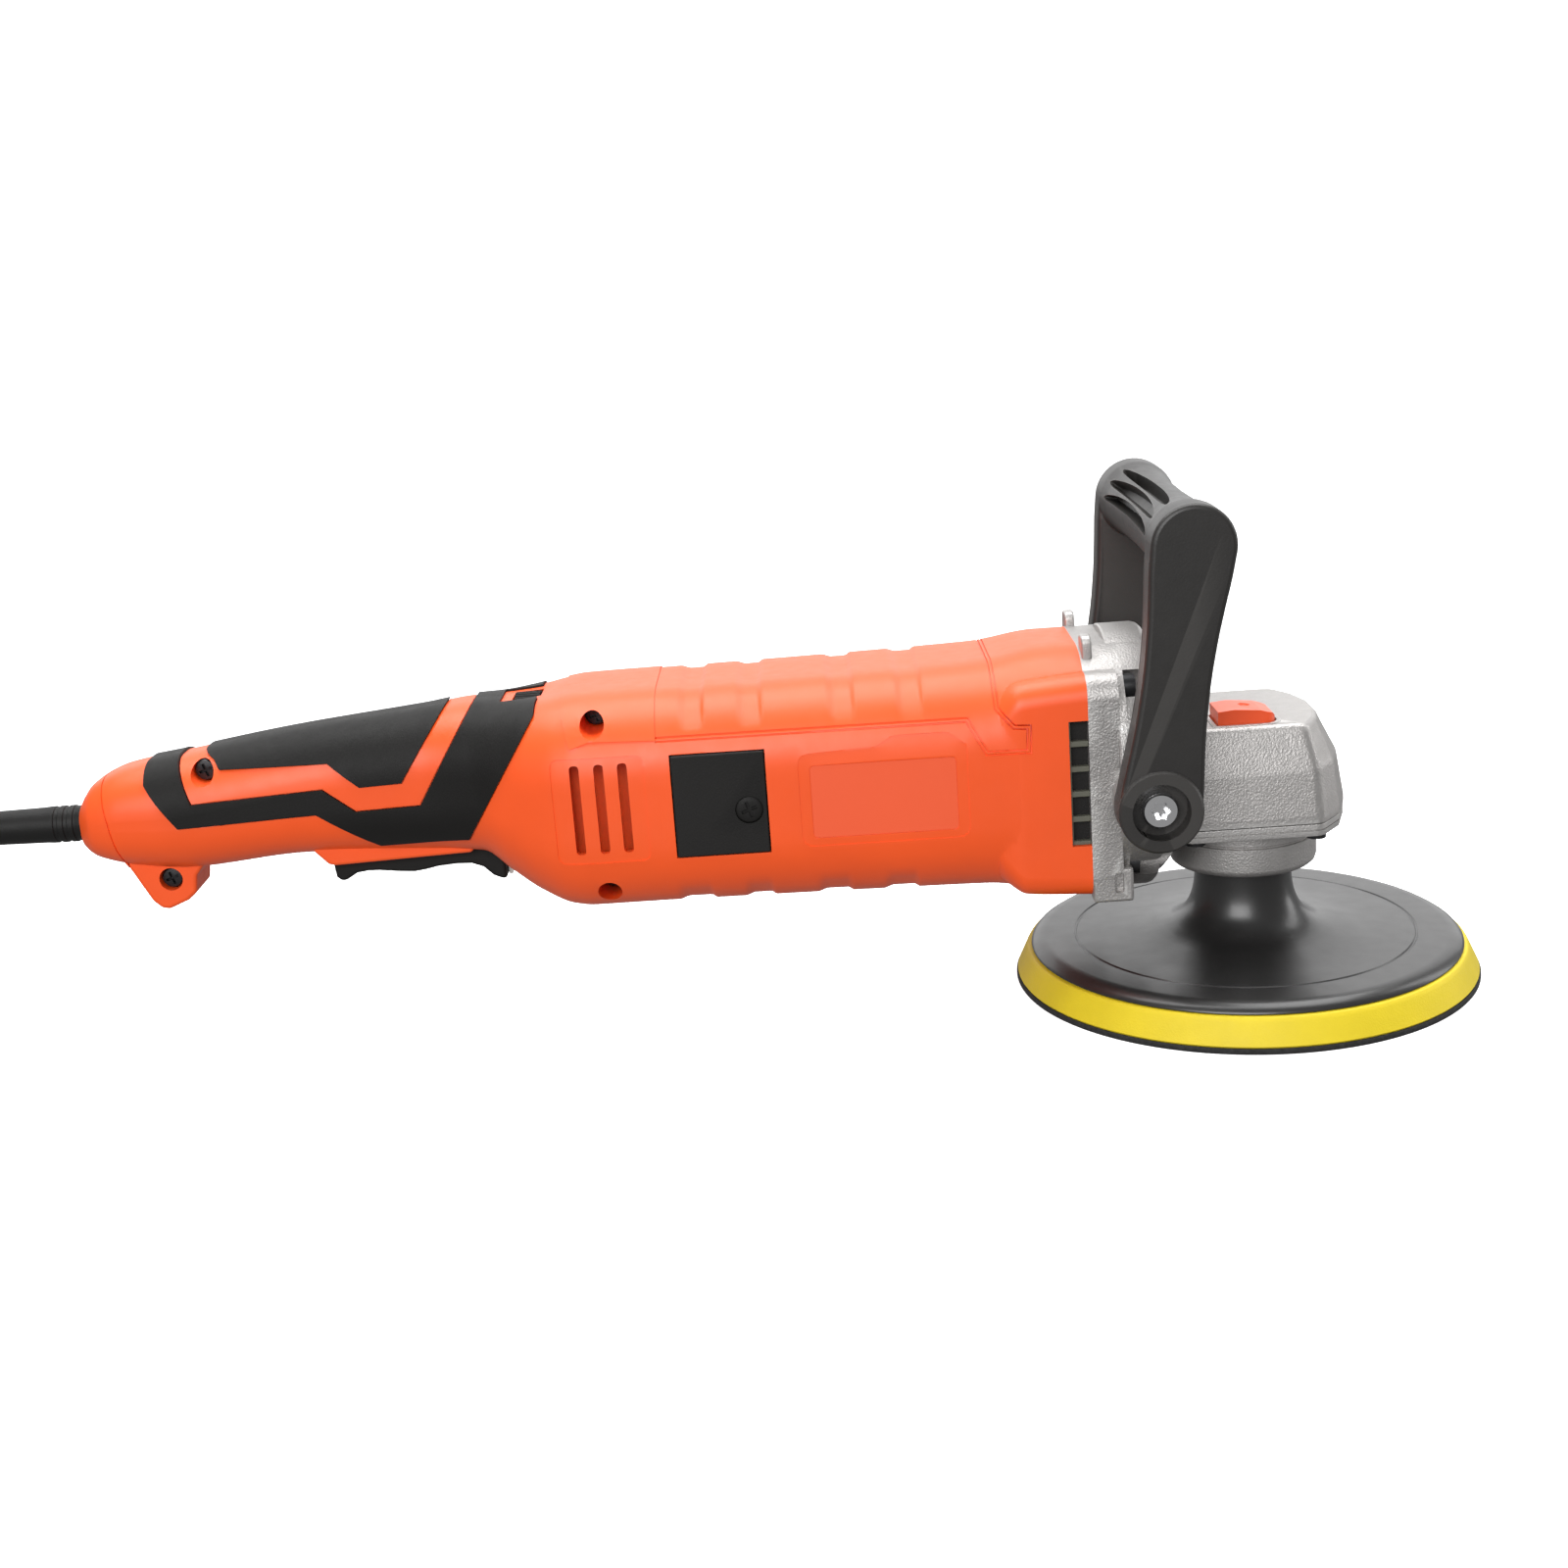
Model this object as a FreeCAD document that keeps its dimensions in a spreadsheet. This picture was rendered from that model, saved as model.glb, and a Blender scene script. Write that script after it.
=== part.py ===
import FreeCAD, Part

import math
import operator
import os

import Sketcher
from FreeCAD import Placement, Rotation, Vector

# A corded rotary polisher with a straight body, an angled gear head and a D-shaped front handle.
# Frame: origin at the centre of the pad's face, +Z up the spindle, +X along the motor towards
# the nose of the gear head, so -Y is the right-hand side of the tool. Millimetres.

DIMENSIONS = {
    # pad and backing plate
    "pad_radius": 75.0,
    "loop_thickness": 1.8,
    "foam_top": 10.5,
    "foam_top_radius": 70.5,
    "plate_radius": 69.7,
    "plate_rim_radius": 65.9,
    "plate_rim_height": 13.7,
    "neck_radius": 15.5,
    "neck_top": 37.0,
    # spindle
    "thread_radius": 7.0,
    "spindle_flange_radius": 9.0,
    "spindle_radius": 6.0,
    "journal_radius": 4.5,
    "journal_bottom": 68.5,
    "spindle_top": 84.0,
    # bearing box
    "box_radius": 23.5,
    "box_bottom": 38.0,
    "box_plate_bottom": 53.3,
    "case_bottom": 57.5,
    "case_top": 88.5,
    "spindle_bearing_bottom": 44.0,
    "spindle_bearing_height": 10.0,
    "spindle_bearing_radius": 16.0,
    # motor, along its own axis
    "motor_height": 76.2,
    "shaft_radius": 5.0,
    "pinion_seat_radius": 3.0,
    "core_radius": 19.4,
    "core_back": -148.0,
    "core_front": -98.0,
    "stator_radius": 31.0,
    "stator_bore": 20.0,
    "commutator_radius": 13.0,
    "commutator_back": -176.0,
    "commutator_front": -160.0,
    "fan_radius": 31.0,
    "fan_back": -75.0,
    # casings
    "seam_back": -186.0,
    "seam_front": -54.0,
    "barrel_radius": 42.4,
    "barrel_front": -32.0,
    "flange_front": -42.0,
    "wall": 2.7,
    # front handle
    "grip_lean": 8.2,
    "arm_pivot_forward": -35.6,
    "arm_pivot_height": 72.5,
    "arm_length": 79.5,
    "arm_radius": 12.8,
    "arm_inner": 45.5,
    "arm_outer": 58.0,
    "bolt_radius": 4.0,
    # controls
    "trigger_half_width": 6.5,
    "trigger_pivot_forward": -292.0,
    "trigger_pivot_height": 64.0,
    "dial_radius": 11.0,
    "dial_height": 98.6,
    "dial_middle": -228.0,
    "button_forward": -2.3,
    "button_side": -15.0,
    "button_length": 18.4,
    "button_width": 13.6,
    "button_top": 93.5,
    "button_bottom": 84.5,
    "lock_pin_radius": 2.0,
    "lock_pin_forward": -4.1,
    "lock_pin_side": -14.4,
    # cord
    "cord_radius": 4.0,
    "guard_back": -436.0,
    "coil_forward": -584.0,
    "coil_side": 68.0,
    "coil_mean_radius": 44.0,
}

doc = FreeCAD.newDocument("RotaryPolisher")
sheet = doc.addObject("Spreadsheet::Sheet", "Dimensions")
for row, (alias, number) in enumerate(DIMENSIONS.items(), start=1):
    sheet.set(f"A{row}", alias)
    sheet.set(f"B{row}", str(number))
    sheet.setAlias(f"B{row}", alias)
doc.recompute()


# ---------------------------------------------------------------- sizes bound to the sheet

SIGNS = {"+": operator.add, "-": operator.sub, "*": operator.mul, "/": operator.truediv}


class Size:
    """A number that remembers the spreadsheet expression it was worked out with."""

    def __init__(self, value, text):
        self.value = value
        self.text = text

    def __float__(self):
        return float(self.value)

    def __add__(self, other):
        return combined(self, "+", other)

    def __radd__(self, other):
        return combined(other, "+", self)

    def __sub__(self, other):
        return combined(self, "-", other)

    def __rsub__(self, other):
        return combined(other, "-", self)

    def __mul__(self, other):
        return combined(self, "*", other)

    def __rmul__(self, other):
        return combined(other, "*", self)

    def __truediv__(self, other):
        return combined(self, "/", other)

    def __neg__(self):
        return combined(0, "-", self)


def as_size(number):
    if isinstance(number, Size):
        return number
    return Size(float(number), repr(float(number)))


def combined(left, sign, right):
    left = as_size(left)
    right = as_size(right)
    return Size(SIGNS[sign](left.value, right.value), f"({left.text} {sign} {right.text})")


def size(alias):
    return Size(float(sheet.get(alias)), "Dimensions." + alias)


def bind(obj, prop, number):
    obj.setExpression(prop, as_size(number).text)


AXES = {
    "X": Rotation(Vector(0, 1, 0), 90),
    "Y": Rotation(Vector(1, 0, 0), -90),
    "-Y": Rotation(Vector(1, 0, 0), 90),
    "Z": Rotation(),
}


def place(obj, at, axis="Z"):
    """Put an object's own origin at a bound point with its own Z along the axis."""
    obj.Placement = Placement(Vector(*[float(number) for number in at]), AXES[axis])
    for letter, number in zip("xyz", at):
        bind(obj, "Placement.Base." + letter, number)
    return obj


# ---------------------------------------------------------------- sub-parts

pieces = {}


def keep(node, obj):
    """Name an object as a finished sub-part."""
    obj.Label = node
    pieces[node] = obj
    return obj


def feature(node, shape):
    """A sub-part whose shape is worked out directly."""
    obj = doc.addObject("Part::Feature", node)
    obj.Shape = shape
    obj.Placement = shape.Placement
    return keep(node, obj)


# ---------------------------------------------------------------- Part primitives

def cylinder(radius, length, at, axis="Z"):
    obj = doc.addObject("Part::Cylinder", "Cylinder")
    bind(obj, "Radius", radius)
    bind(obj, "Height", length)
    return place(obj, at, axis)


def box(low, high):
    obj = doc.addObject("Part::Box", "Box")
    for prop, start, end in zip(("Length", "Width", "Height"), low, high):
        bind(obj, prop, as_size(end) - start)
    return place(obj, low)


def fused(*objects):
    obj = doc.addObject("Part::MultiFuse", "Fusion")
    obj.Shapes = list(objects)
    return obj


def cut(base, *tools):
    obj = doc.addObject("Part::Cut", "Cut")
    obj.Base = base
    obj.Tool = tools[0] if len(tools) == 1 else fused(*tools)
    return obj


def grouped(*objects):
    """Identical separate solids held in one sub-part."""
    obj = doc.addObject("Part::Compound", "Group")
    obj.Links = list(objects)
    return obj


def ring(inner, outer, length, at, axis="Z"):
    return cut(cylinder(outer, length, at, axis), cylinder(inner, length, at, axis))


# ---------------------------------------------------------------- PartDesign bodies

ORIGIN = -1
START = 1
END = 2
VERTICAL_AXIS = -2
HORIZONTAL_AXIS = -1


def hold(sketch, kind, line, number):
    """Fix one coordinate of a line's first end, bound to its expression."""
    number = as_size(number)
    if number.value == 0:
        axis = VERTICAL_AXIS if kind == "DistanceX" else HORIZONTAL_AXIS
        sketch.addConstraint(Sketcher.Constraint("PointOnObject", line, START, axis))
        return
    if number.value > 0:
        constraint = Sketcher.Constraint(kind, ORIGIN, START, line, START, number.value)
    else:
        constraint = Sketcher.Constraint(kind, line, START, ORIGIN, START, -number.value)
        number = -number
    index = sketch.addConstraint(constraint)
    sketch.setExpression(f"Constraints[{index}]", number.text)


def polygon_sketch(body, plane, corners):
    """A closed polygon on one of the body's own planes, every corner bound in both directions."""
    sketch = body.newObject("Sketcher::SketchObject", "Profile")
    support = [item for item in body.Origin.OriginFeatures if item.Role == plane]
    sketch.AttachmentSupport = [(support[0], "")]
    sketch.MapMode = "FlatFace"
    points = [Vector(float(across), float(up), 0) for across, up in corners]
    count = len(points)
    for index in range(count):
        sketch.addGeometry(Part.LineSegment(points[index], points[(index + 1) % count]), False)
    for index in range(count):
        sketch.addConstraint(Sketcher.Constraint("Coincident", index, END, (index + 1) % count, START))
    for index, (across, up) in enumerate(corners):
        hold(sketch, "DistanceX", index, across)
        hold(sketch, "DistanceY", index, up)
    return sketch


def turned(corners, at=(0, 0, 0), axis="Z"):
    """A body turned from a profile of (radius, distance along the axis) corners."""
    body = doc.addObject("PartDesign::Body", "Turned")
    sketch = polygon_sketch(body, "XZ_Plane", corners)
    revolution = body.newObject("PartDesign::Revolution", "Revolution")
    revolution.Profile = sketch
    revolution.ReferenceAxis = (sketch, ["V_Axis"])
    revolution.Angle = 360
    sketch.Visibility = False
    return place(body, at, axis)


def padded(corners, thickness, at=(0, 0, 0)):
    """A body padded both ways from a side outline of (forward, up) corners."""
    body = doc.addObject("PartDesign::Body", "Padded")
    sketch = polygon_sketch(body, "XZ_Plane", corners)
    pad = body.newObject("PartDesign::Pad", "Pad")
    pad.Profile = sketch
    bind(pad, "Length", thickness)
    pad.Midplane = True
    return place(body, at)


# ---------------------------------------------------------------- shapes worked out directly

def solid_cylinder(radius, start, end):
    """A plain cylinder between two points."""
    start = Vector(*start)
    along = Vector(*end) - start
    return Part.makeCylinder(radius, along.Length, start, along)


def solid_box(low, high):
    extent = [top - bottom for bottom, top in zip(low, high)]
    return Part.makeBox(*extent, Vector(*low))


def side_prism(corners, near, far):
    """A side outline of (forward, up) corners, solid from one side distance to another."""
    points = [Vector(forward, near, up) for forward, up in corners]
    face = Part.Face(Part.makePolygon(points + points[:1]))
    return face.extrude(Vector(0, far - near, 0))


def plan_prism(corners, low, high):
    """A plan outline of (forward, side) corners, solid between two heights."""
    points = [Vector(forward, side, low) for forward, side in corners]
    face = Part.Face(Part.makePolygon(points + points[:1]))
    return face.extrude(Vector(0, 0, high - low))


def cross_section(forward, half_width, bottom, top, corner):
    """A rounded rectangle across the motor axis."""
    middle = (bottom + top) / 2
    wide = half_width - corner
    tall = (top - bottom) / 2 - corner
    arcs = []
    for side, up, start in ((wide, tall, 0), (-wide, tall, 90), (-wide, -tall, 180), (wide, -tall, 270)):
        points = []
        for turn in (0, 45, 90):
            angle = math.radians(start + turn)
            points.append(Vector(forward, side + corner * math.cos(angle),
                                 middle + up + corner * math.sin(angle)))
        arcs.append(Part.Arc(*points).toShape())
    edges = []
    for index, arc in enumerate(arcs):
        following = arcs[(index + 1) % len(arcs)]
        edges.append(arc)
        edges.append(Part.makeLine(arc.Vertexes[-1].Point, following.Vertexes[0].Point))
    return Part.Wire(edges)


def lofted(sections):
    """A ruled solid through cross sections, in order along the motor axis."""
    return Part.makeLoft([cross_section(*values) for values in sections], True, True)


def shrunk(sections, wall):
    """The same sections, smaller all round by the wall."""
    return [(forward, half_width - wall, bottom + wall, top - wall, max(corner - wall, 0.8))
            for forward, half_width, bottom, top, corner in sections]


def spring(radius, wire, turns, low, high, at=(0.0, 0.0)):
    """A coil spring of hexagonal wire standing between two heights."""
    rise = high - low - 2 * wire
    steps = int(turns * 12)
    sections = []
    for step in range(steps + 1):
        angle = 2 * math.pi * turns * step / steps
        outward = Vector(math.cos(angle), math.sin(angle), 0)
        middle = outward * radius + Vector(at[0], at[1], low + wire + rise * step / steps)
        corners = []
        for side in range(6):
            turn = math.radians(60 * side)
            corners.append(middle + outward * wire * math.cos(turn) + Vector(0, 0, wire * math.sin(turn)))
        sections.append(Part.makePolygon(corners + corners[:1]))
    return Part.makeLoft(sections, True, True)


motor_height = size("motor_height")
axis_z = float(motor_height)
cord_radius = size("cord_radius")


def along_motor(shape_maker, *arguments):
    """Build on the X axis and lift onto the motor axis."""
    shape = shape_maker(*arguments)
    shape.translate(Vector(0, 0, axis_z))
    return shape


# ---------------------------------------------------------------- pad and backing plate

def build_pad():
    pad_radius = size("pad_radius")
    loop_thickness = size("loop_thickness")
    foam_top = size("foam_top")
    plate_radius = size("plate_radius")
    rim_radius = size("plate_rim_radius")
    rim_height = size("plate_rim_height")
    neck_radius = size("neck_radius")
    neck_top = size("neck_top")
    insert_radius = 11.0
    insert_bottom = 16.0
    foam_bottom_radius = pad_radius - 0.4
    keep("loop_sheet", turned([(0, 0), (pad_radius, 0), (pad_radius, loop_thickness),
                               (0, loop_thickness)]))
    keep("foam_pad", turned([(0, loop_thickness), (foam_bottom_radius, loop_thickness),
                             (size("foam_top_radius"), foam_top), (0, foam_top)]))
    keep("backing_plate", turned([
        (0, foam_top), (plate_radius, foam_top), (plate_radius, foam_top + 1.0),
        (rim_radius, rim_height), (rim_radius - 11, rim_height + 0.2), (rim_radius - 26, rim_height + 0.9),
        (neck_radius + 14.5, rim_height + 1.9), (neck_radius + 9.5, rim_height + 3.1),
        (neck_radius + 5.5, rim_height + 5.8), (neck_radius + 2.7, rim_height + 9.0),
        (neck_radius + 1.1, rim_height + 12.0), (neck_radius + 0.2, rim_height + 15.5),
        (neck_radius, neck_top), (insert_radius, neck_top), (insert_radius, insert_bottom),
        (0, insert_bottom)]))
    keep("plate_insert", ring(size("thread_radius") + 0.05, insert_radius, neck_top - insert_bottom,
                              (0, 0, insert_bottom)))


# ---------------------------------------------------------------- spindle and its bearing

def build_spindle():
    flange = size("spindle_flange_radius")
    shaft = size("spindle_radius")
    journal = size("journal_radius")
    neck_top = size("neck_top")
    bearing_bottom = size("spindle_bearing_bottom")
    journal_bottom = size("journal_bottom")
    spindle_top = size("spindle_top")
    thread_radius = size("thread_radius")
    thread_bottom = 17.0
    keep("spindle", turned([
        (0, thread_bottom), (thread_radius, thread_bottom), (thread_radius, neck_top),
        (flange, neck_top), (flange, bearing_bottom), (shaft, bearing_bottom),
        (shaft, journal_bottom), (journal, journal_bottom), (journal, spindle_top), (0, spindle_top)]))
    keep("spindle_bearing_inner", ring(shaft, shaft + 3, size("spindle_bearing_height"),
                                       (0, 0, bearing_bottom)))
    keep("top_bush", ring(journal + 0.05, journal + 1.5, 11, (0, 0, spindle_top - 11.5)))


# ---------------------------------------------------------------- bevel gears

GEAR_MODULE = 1.25
GEAR_TEETH = 41
PINION_TEETH = 10
TOOTH_FACE = 8.0
TOOTH_SHARE = 0.39
PRESSURE_ANGLE = math.radians(20)


def bevel_teeth(teeth, mate_teeth, first_angle):
    """Straight bevel teeth and their blank about +Z, with the pitch cone's apex at the origin."""
    cone_angle = math.atan2(teeth, mate_teeth)
    outer_distance = GEAR_MODULE * teeth / 2 / math.sin(cone_angle)
    inner_share = 1 - TOOTH_FACE / outer_distance
    half_pitch_thickness = TOOTH_SHARE * math.pi * GEAR_MODULE / 2
    rises = (-1.35 * GEAR_MODULE, 0.9 * GEAR_MODULE)
    corners = []
    for rise, side in ((rises[0], -1), (rises[0], 1), (rises[1], 1), (rises[1], -1)):
        half_thickness = half_pitch_thickness - rise * math.tan(PRESSURE_ANGLE)
        radius = outer_distance * math.sin(cone_angle) + rise * math.cos(cone_angle)
        height = -outer_distance * math.cos(cone_angle) + rise * math.sin(cone_angle)
        corners.append(Vector(radius, side * half_thickness, height))
    rings = [Part.makePolygon([corner * share for corner in corners + corners[:1]])
             for share in (1, inner_share)]
    tooth = Part.makeLoft(rings, True, True)
    copies = []
    for index in range(teeth):
        copy = tooth.copy()
        copy.rotate(Vector(0, 0, 0), Vector(0, 0, 1), first_angle + index * 360 / teeth)
        copies.append(copy)
    root_rise = -1.2 * GEAR_MODULE
    root_outer = Vector(outer_distance * math.sin(cone_angle) + root_rise * math.cos(cone_angle), 0,
                        -outer_distance * math.cos(cone_angle) + root_rise * math.sin(cone_angle))
    return copies, root_outer, root_outer * inner_share


def revolved(points):
    """A polygon of (radius, height) points turned about the Z axis."""
    corners = [Vector(radius, 0, height) for radius, height in points]
    face = Part.Face(Part.makePolygon(corners + corners[:1]))
    return face.revolve(Vector(0, 0, 0), Vector(0, 0, 1), 360)


def build_gears():
    apex = Vector(0, 0, axis_z)
    hub_radius = 11.0
    web_bottom = 61.0
    bore = float(size("spindle_radius"))
    bearing_top = float(size("spindle_bearing_bottom") + size("spindle_bearing_height"))
    web_top = float(size("journal_bottom"))
    half_tooth = 180 / GEAR_TEETH
    copies, outer, inner = bevel_teeth(GEAR_TEETH, PINION_TEETH, 180 + half_tooth)
    blank = revolved([
        (bore, bearing_top - axis_z), (8.5, bearing_top - axis_z), (8.5, web_bottom - axis_z),
        (outer.x - 1.5, web_bottom - axis_z), (outer.x, outer.z - 1.5), (outer.x, outer.z),
        (inner.x, inner.z), (hub_radius, web_top - axis_z), (bore, web_top - axis_z)])
    gear = blank.fuse(copies)
    gear.translate(apex)
    # four blind holes that the lock pin drops into
    forward = float(size("lock_pin_forward"))
    side = float(size("lock_pin_side"))
    hole = Part.makeCylinder(float(size("lock_pin_radius")) + 0.4, 7, Vector(forward, side, web_top - 3.2))
    for _ in range(4):
        gear = gear.cut(hole)
        hole.rotate(Vector(0, 0, 0), Vector(0, 0, 1), 90)
    feature("bevel_gear", gear)

    copies, outer, inner = bevel_teeth(PINION_TEETH, GEAR_TEETH, 0)
    seat = float(size("pinion_seat_radius"))
    shoulder = -33.0
    blank = revolved([(seat, shoulder), (6.5, shoulder), (6.5, outer.z - 1.5), (outer.x, outer.z),
                      (inner.x, inner.z), (seat, inner.z)])
    pinion = blank.fuse(copies)
    pinion = pinion.cut(Part.makeCylinder(seat, 60, Vector(0, 0, -60)))
    # lay it along the motor: its own -Z becomes -X, and its first tooth points down
    pinion.rotate(Vector(0, 0, 0), Vector(0, 1, 0), 90)
    pinion.translate(apex)
    feature("pinion", pinion)


# ---------------------------------------------------------------- armature

NUT_BACK = -17.6


def build_armature():
    shaft = size("shaft_radius")
    seat = size("pinion_seat_radius")
    back = -185.0
    rear_shoulder = -178.0
    front_shoulder = -33.0
    tip_radius = 2.2
    tip = -11.5
    keep("armature_shaft", turned([
        (0, back), (4, back), (4, rear_shoulder), (shaft, rear_shoulder), (shaft, front_shoulder),
        (seat, front_shoulder), (seat, NUT_BACK), (tip_radius, NUT_BACK), (tip_radius, tip), (0, tip)],
        (0, 0, motor_height), "X"))

    core_radius = float(size("core_radius"))
    core_back = float(size("core_back"))
    core_front = float(size("core_front"))
    bore = float(shaft)
    core = Part.makeCylinder(core_radius, core_front - core_back, Vector(core_back, 0, 0), Vector(1, 0, 0))
    core = core.cut(Part.makeCylinder(bore, 200, Vector(-200, 0, 0), Vector(1, 0, 0)))
    slots = []
    for index in range(12):
        slot = solid_box((core_back - 1, -1.1, 11.5), (core_front + 1, 1.1, core_radius + 1))
        slot.rotate(Vector(0, 0, 0), Vector(1, 0, 0), index * 30)
        slots.append(slot)
    core = core.cut(slots)
    core.translate(Vector(0, 0, axis_z))
    feature("armature_core", core)

    core_back = size("core_back")
    core_front = size("core_front")
    rear_winding = turned([(shaft, core_back - 10), (14, core_back - 10), (17.5, core_back - 6),
                           (17.5, core_back), (shaft, core_back)], (0, 0, motor_height), "X")
    front_winding = turned([(shaft, core_front), (17.5, core_front), (17.5, core_front + 5),
                            (13, core_front + 9), (shaft, core_front + 9)], (0, 0, motor_height), "X")
    keep("armature_windings", grouped(rear_winding, front_winding))

    commutator_back = size("commutator_back")
    commutator_front = size("commutator_front")
    radius = size("commutator_radius")
    riser = radius + 2
    keep("commutator", turned([
        (shaft, commutator_back), (radius, commutator_back), (radius, commutator_front - 2),
        (riser, commutator_front - 2), (riser, commutator_front), (shaft, commutator_front)],
        (0, 0, motor_height), "X"))

    fan_back = float(size("fan_back"))
    fan_radius = float(size("fan_radius"))
    hub = solid_cylinder(9, (fan_back, 0, 0), (fan_back + 13, 0, 0))
    disc = solid_cylinder(fan_radius, (fan_back, 0, 0), (fan_back + 2, 0, 0))
    fan = hub.fuse(disc)
    blades = []
    for index in range(12):
        blade = solid_box((fan_back + 1, -0.8, 8), (fan_back + 10.5, 0.8, fan_radius - 0.5))
        blade.rotate(Vector(0, 0, 0), Vector(1, 0, 0), index * 30)
        blades.append(blade)
    fan = fan.fuse(blades).cut(solid_cylinder(bore, (fan_back - 1, 0, 0), (fan_back + 20, 0, 0)))
    fan.translate(Vector(0, 0, axis_z))
    feature("fan", fan)

    nut = along_motor(solid_cylinder, 3.9, (NUT_BACK, 0, 0), (NUT_BACK + 4, 0, 0))
    nut = nut.cut(along_motor(solid_cylinder, tip_radius, (NUT_BACK - 1, 0, 0), (NUT_BACK + 5, 0, 0)))
    feature("pinion_nut", nut)


# ---------------------------------------------------------------- bearings

FRONT_BEARING = (-43.0, 9.0, 5.0, 15.0)
REAR_BEARING = (-185.0, 7.0, 4.0, 11.0)


def race_radii(bore, outer):
    """The inner ring's outside and the outer ring's inside."""
    gap = (outer - bore) * 0.4
    middle = (outer + bore) / 2
    return middle - gap / 2, middle + gap / 2


def ball_row(inner_race, outer_race):
    """Loose balls between two races, about +Z, centred on the origin."""
    ball_radius = (outer_race - inner_race) / 2 - 0.05
    pitch_radius = (outer_race + inner_race) / 2
    count = int(2 * math.pi * pitch_radius / (ball_radius * 2.6))
    balls = []
    for index in range(count):
        angle = 2 * math.pi * index / count
        centre = Vector(pitch_radius * math.cos(angle), pitch_radius * math.sin(angle), 0)
        balls.append(Part.makeSphere(ball_radius, centre))
    return Part.makeCompound(balls)


def build_bearings():
    spindle_bottom = size("spindle_bearing_bottom")
    spindle_height = size("spindle_bearing_height")
    spindle_outer = size("spindle_bearing_radius")
    outer_rings = [ring(spindle_outer - 3, spindle_outer, spindle_height, (0, 0, spindle_bottom))]
    inner_rings = []
    middle = float(spindle_bottom) + float(spindle_height) / 2
    spindle_balls = ball_row(float(size("spindle_radius")) + 3, float(spindle_outer) - 3)
    spindle_balls.translate(Vector(0, 0, middle))
    rows = [spindle_balls]
    for start, width, bore, outer in (FRONT_BEARING, REAR_BEARING):
        inner_race, outer_race = race_radii(bore, outer)
        outer_rings.append(ring(outer_race, outer, width, (start, 0, motor_height), "X"))
        inner_rings.append(ring(bore, inner_race, width, (start, 0, motor_height), "X"))
        motor_balls = ball_row(inner_race, outer_race)
        motor_balls.rotate(Vector(0, 0, 0), Vector(0, 1, 0), 90)
        motor_balls.translate(Vector(start + width / 2, 0, axis_z))
        rows.append(motor_balls)
    keep("bearing_outer_rings", grouped(*outer_rings))
    keep("motor_bearing_inner_rings", grouped(*inner_rings))
    feature("bearing_balls", Part.makeCompound([ball for row in rows for ball in row.Solids]))
    start, width, _, outer = REAR_BEARING
    keep("rear_bearing_sleeve", ring(outer, outer + 1.5, width, (start, 0, motor_height), "X"))


# ---------------------------------------------------------------- gear case and bearing box

HEAD_FOOT = [(-25, -31), (19, -31), (26.5, -21), (31, -8), (31, 8), (26.5, 21), (19, 31), (-25, 31)]
HEAD_WAIST = [(-25, -29.3), (18, -29.3), (25, -19.5), (28.9, -7.5), (28.9, 7.5), (25, 19.5),
              (18, 29.3), (-25, 29.3)]
HEAD_TOP = [(-25, -26), (15.5, -26), (20.5, -17), (23, -6.5), (23, 6.5), (20.5, 17), (15.5, 26),
            (-25, 26)]
WAIST_HEIGHT = 74.0
# half width, bottom, top and corner radius where the motor housing meets the gear case
FRONT_SECTION = (38.2, 37.7, 116.1, 26)
CASE_SCREWS = [(side, axis_z + up) for side in (-28.5, 28.5) for up in (-27.5, 28.8)]
BOX_SCREWS = [(forward, side) for forward in (-19, 19) for side in (-21, 21)]


def height_loft(outlines):
    """A ruled solid through plan outlines at their heights."""
    wires = []
    for corners, height in outlines:
        points = [Vector(forward, side, height) for forward, side in corners]
        wires.append(Part.makePolygon(points + points[:1]))
    return Part.makeLoft(wires, True, True)


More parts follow.
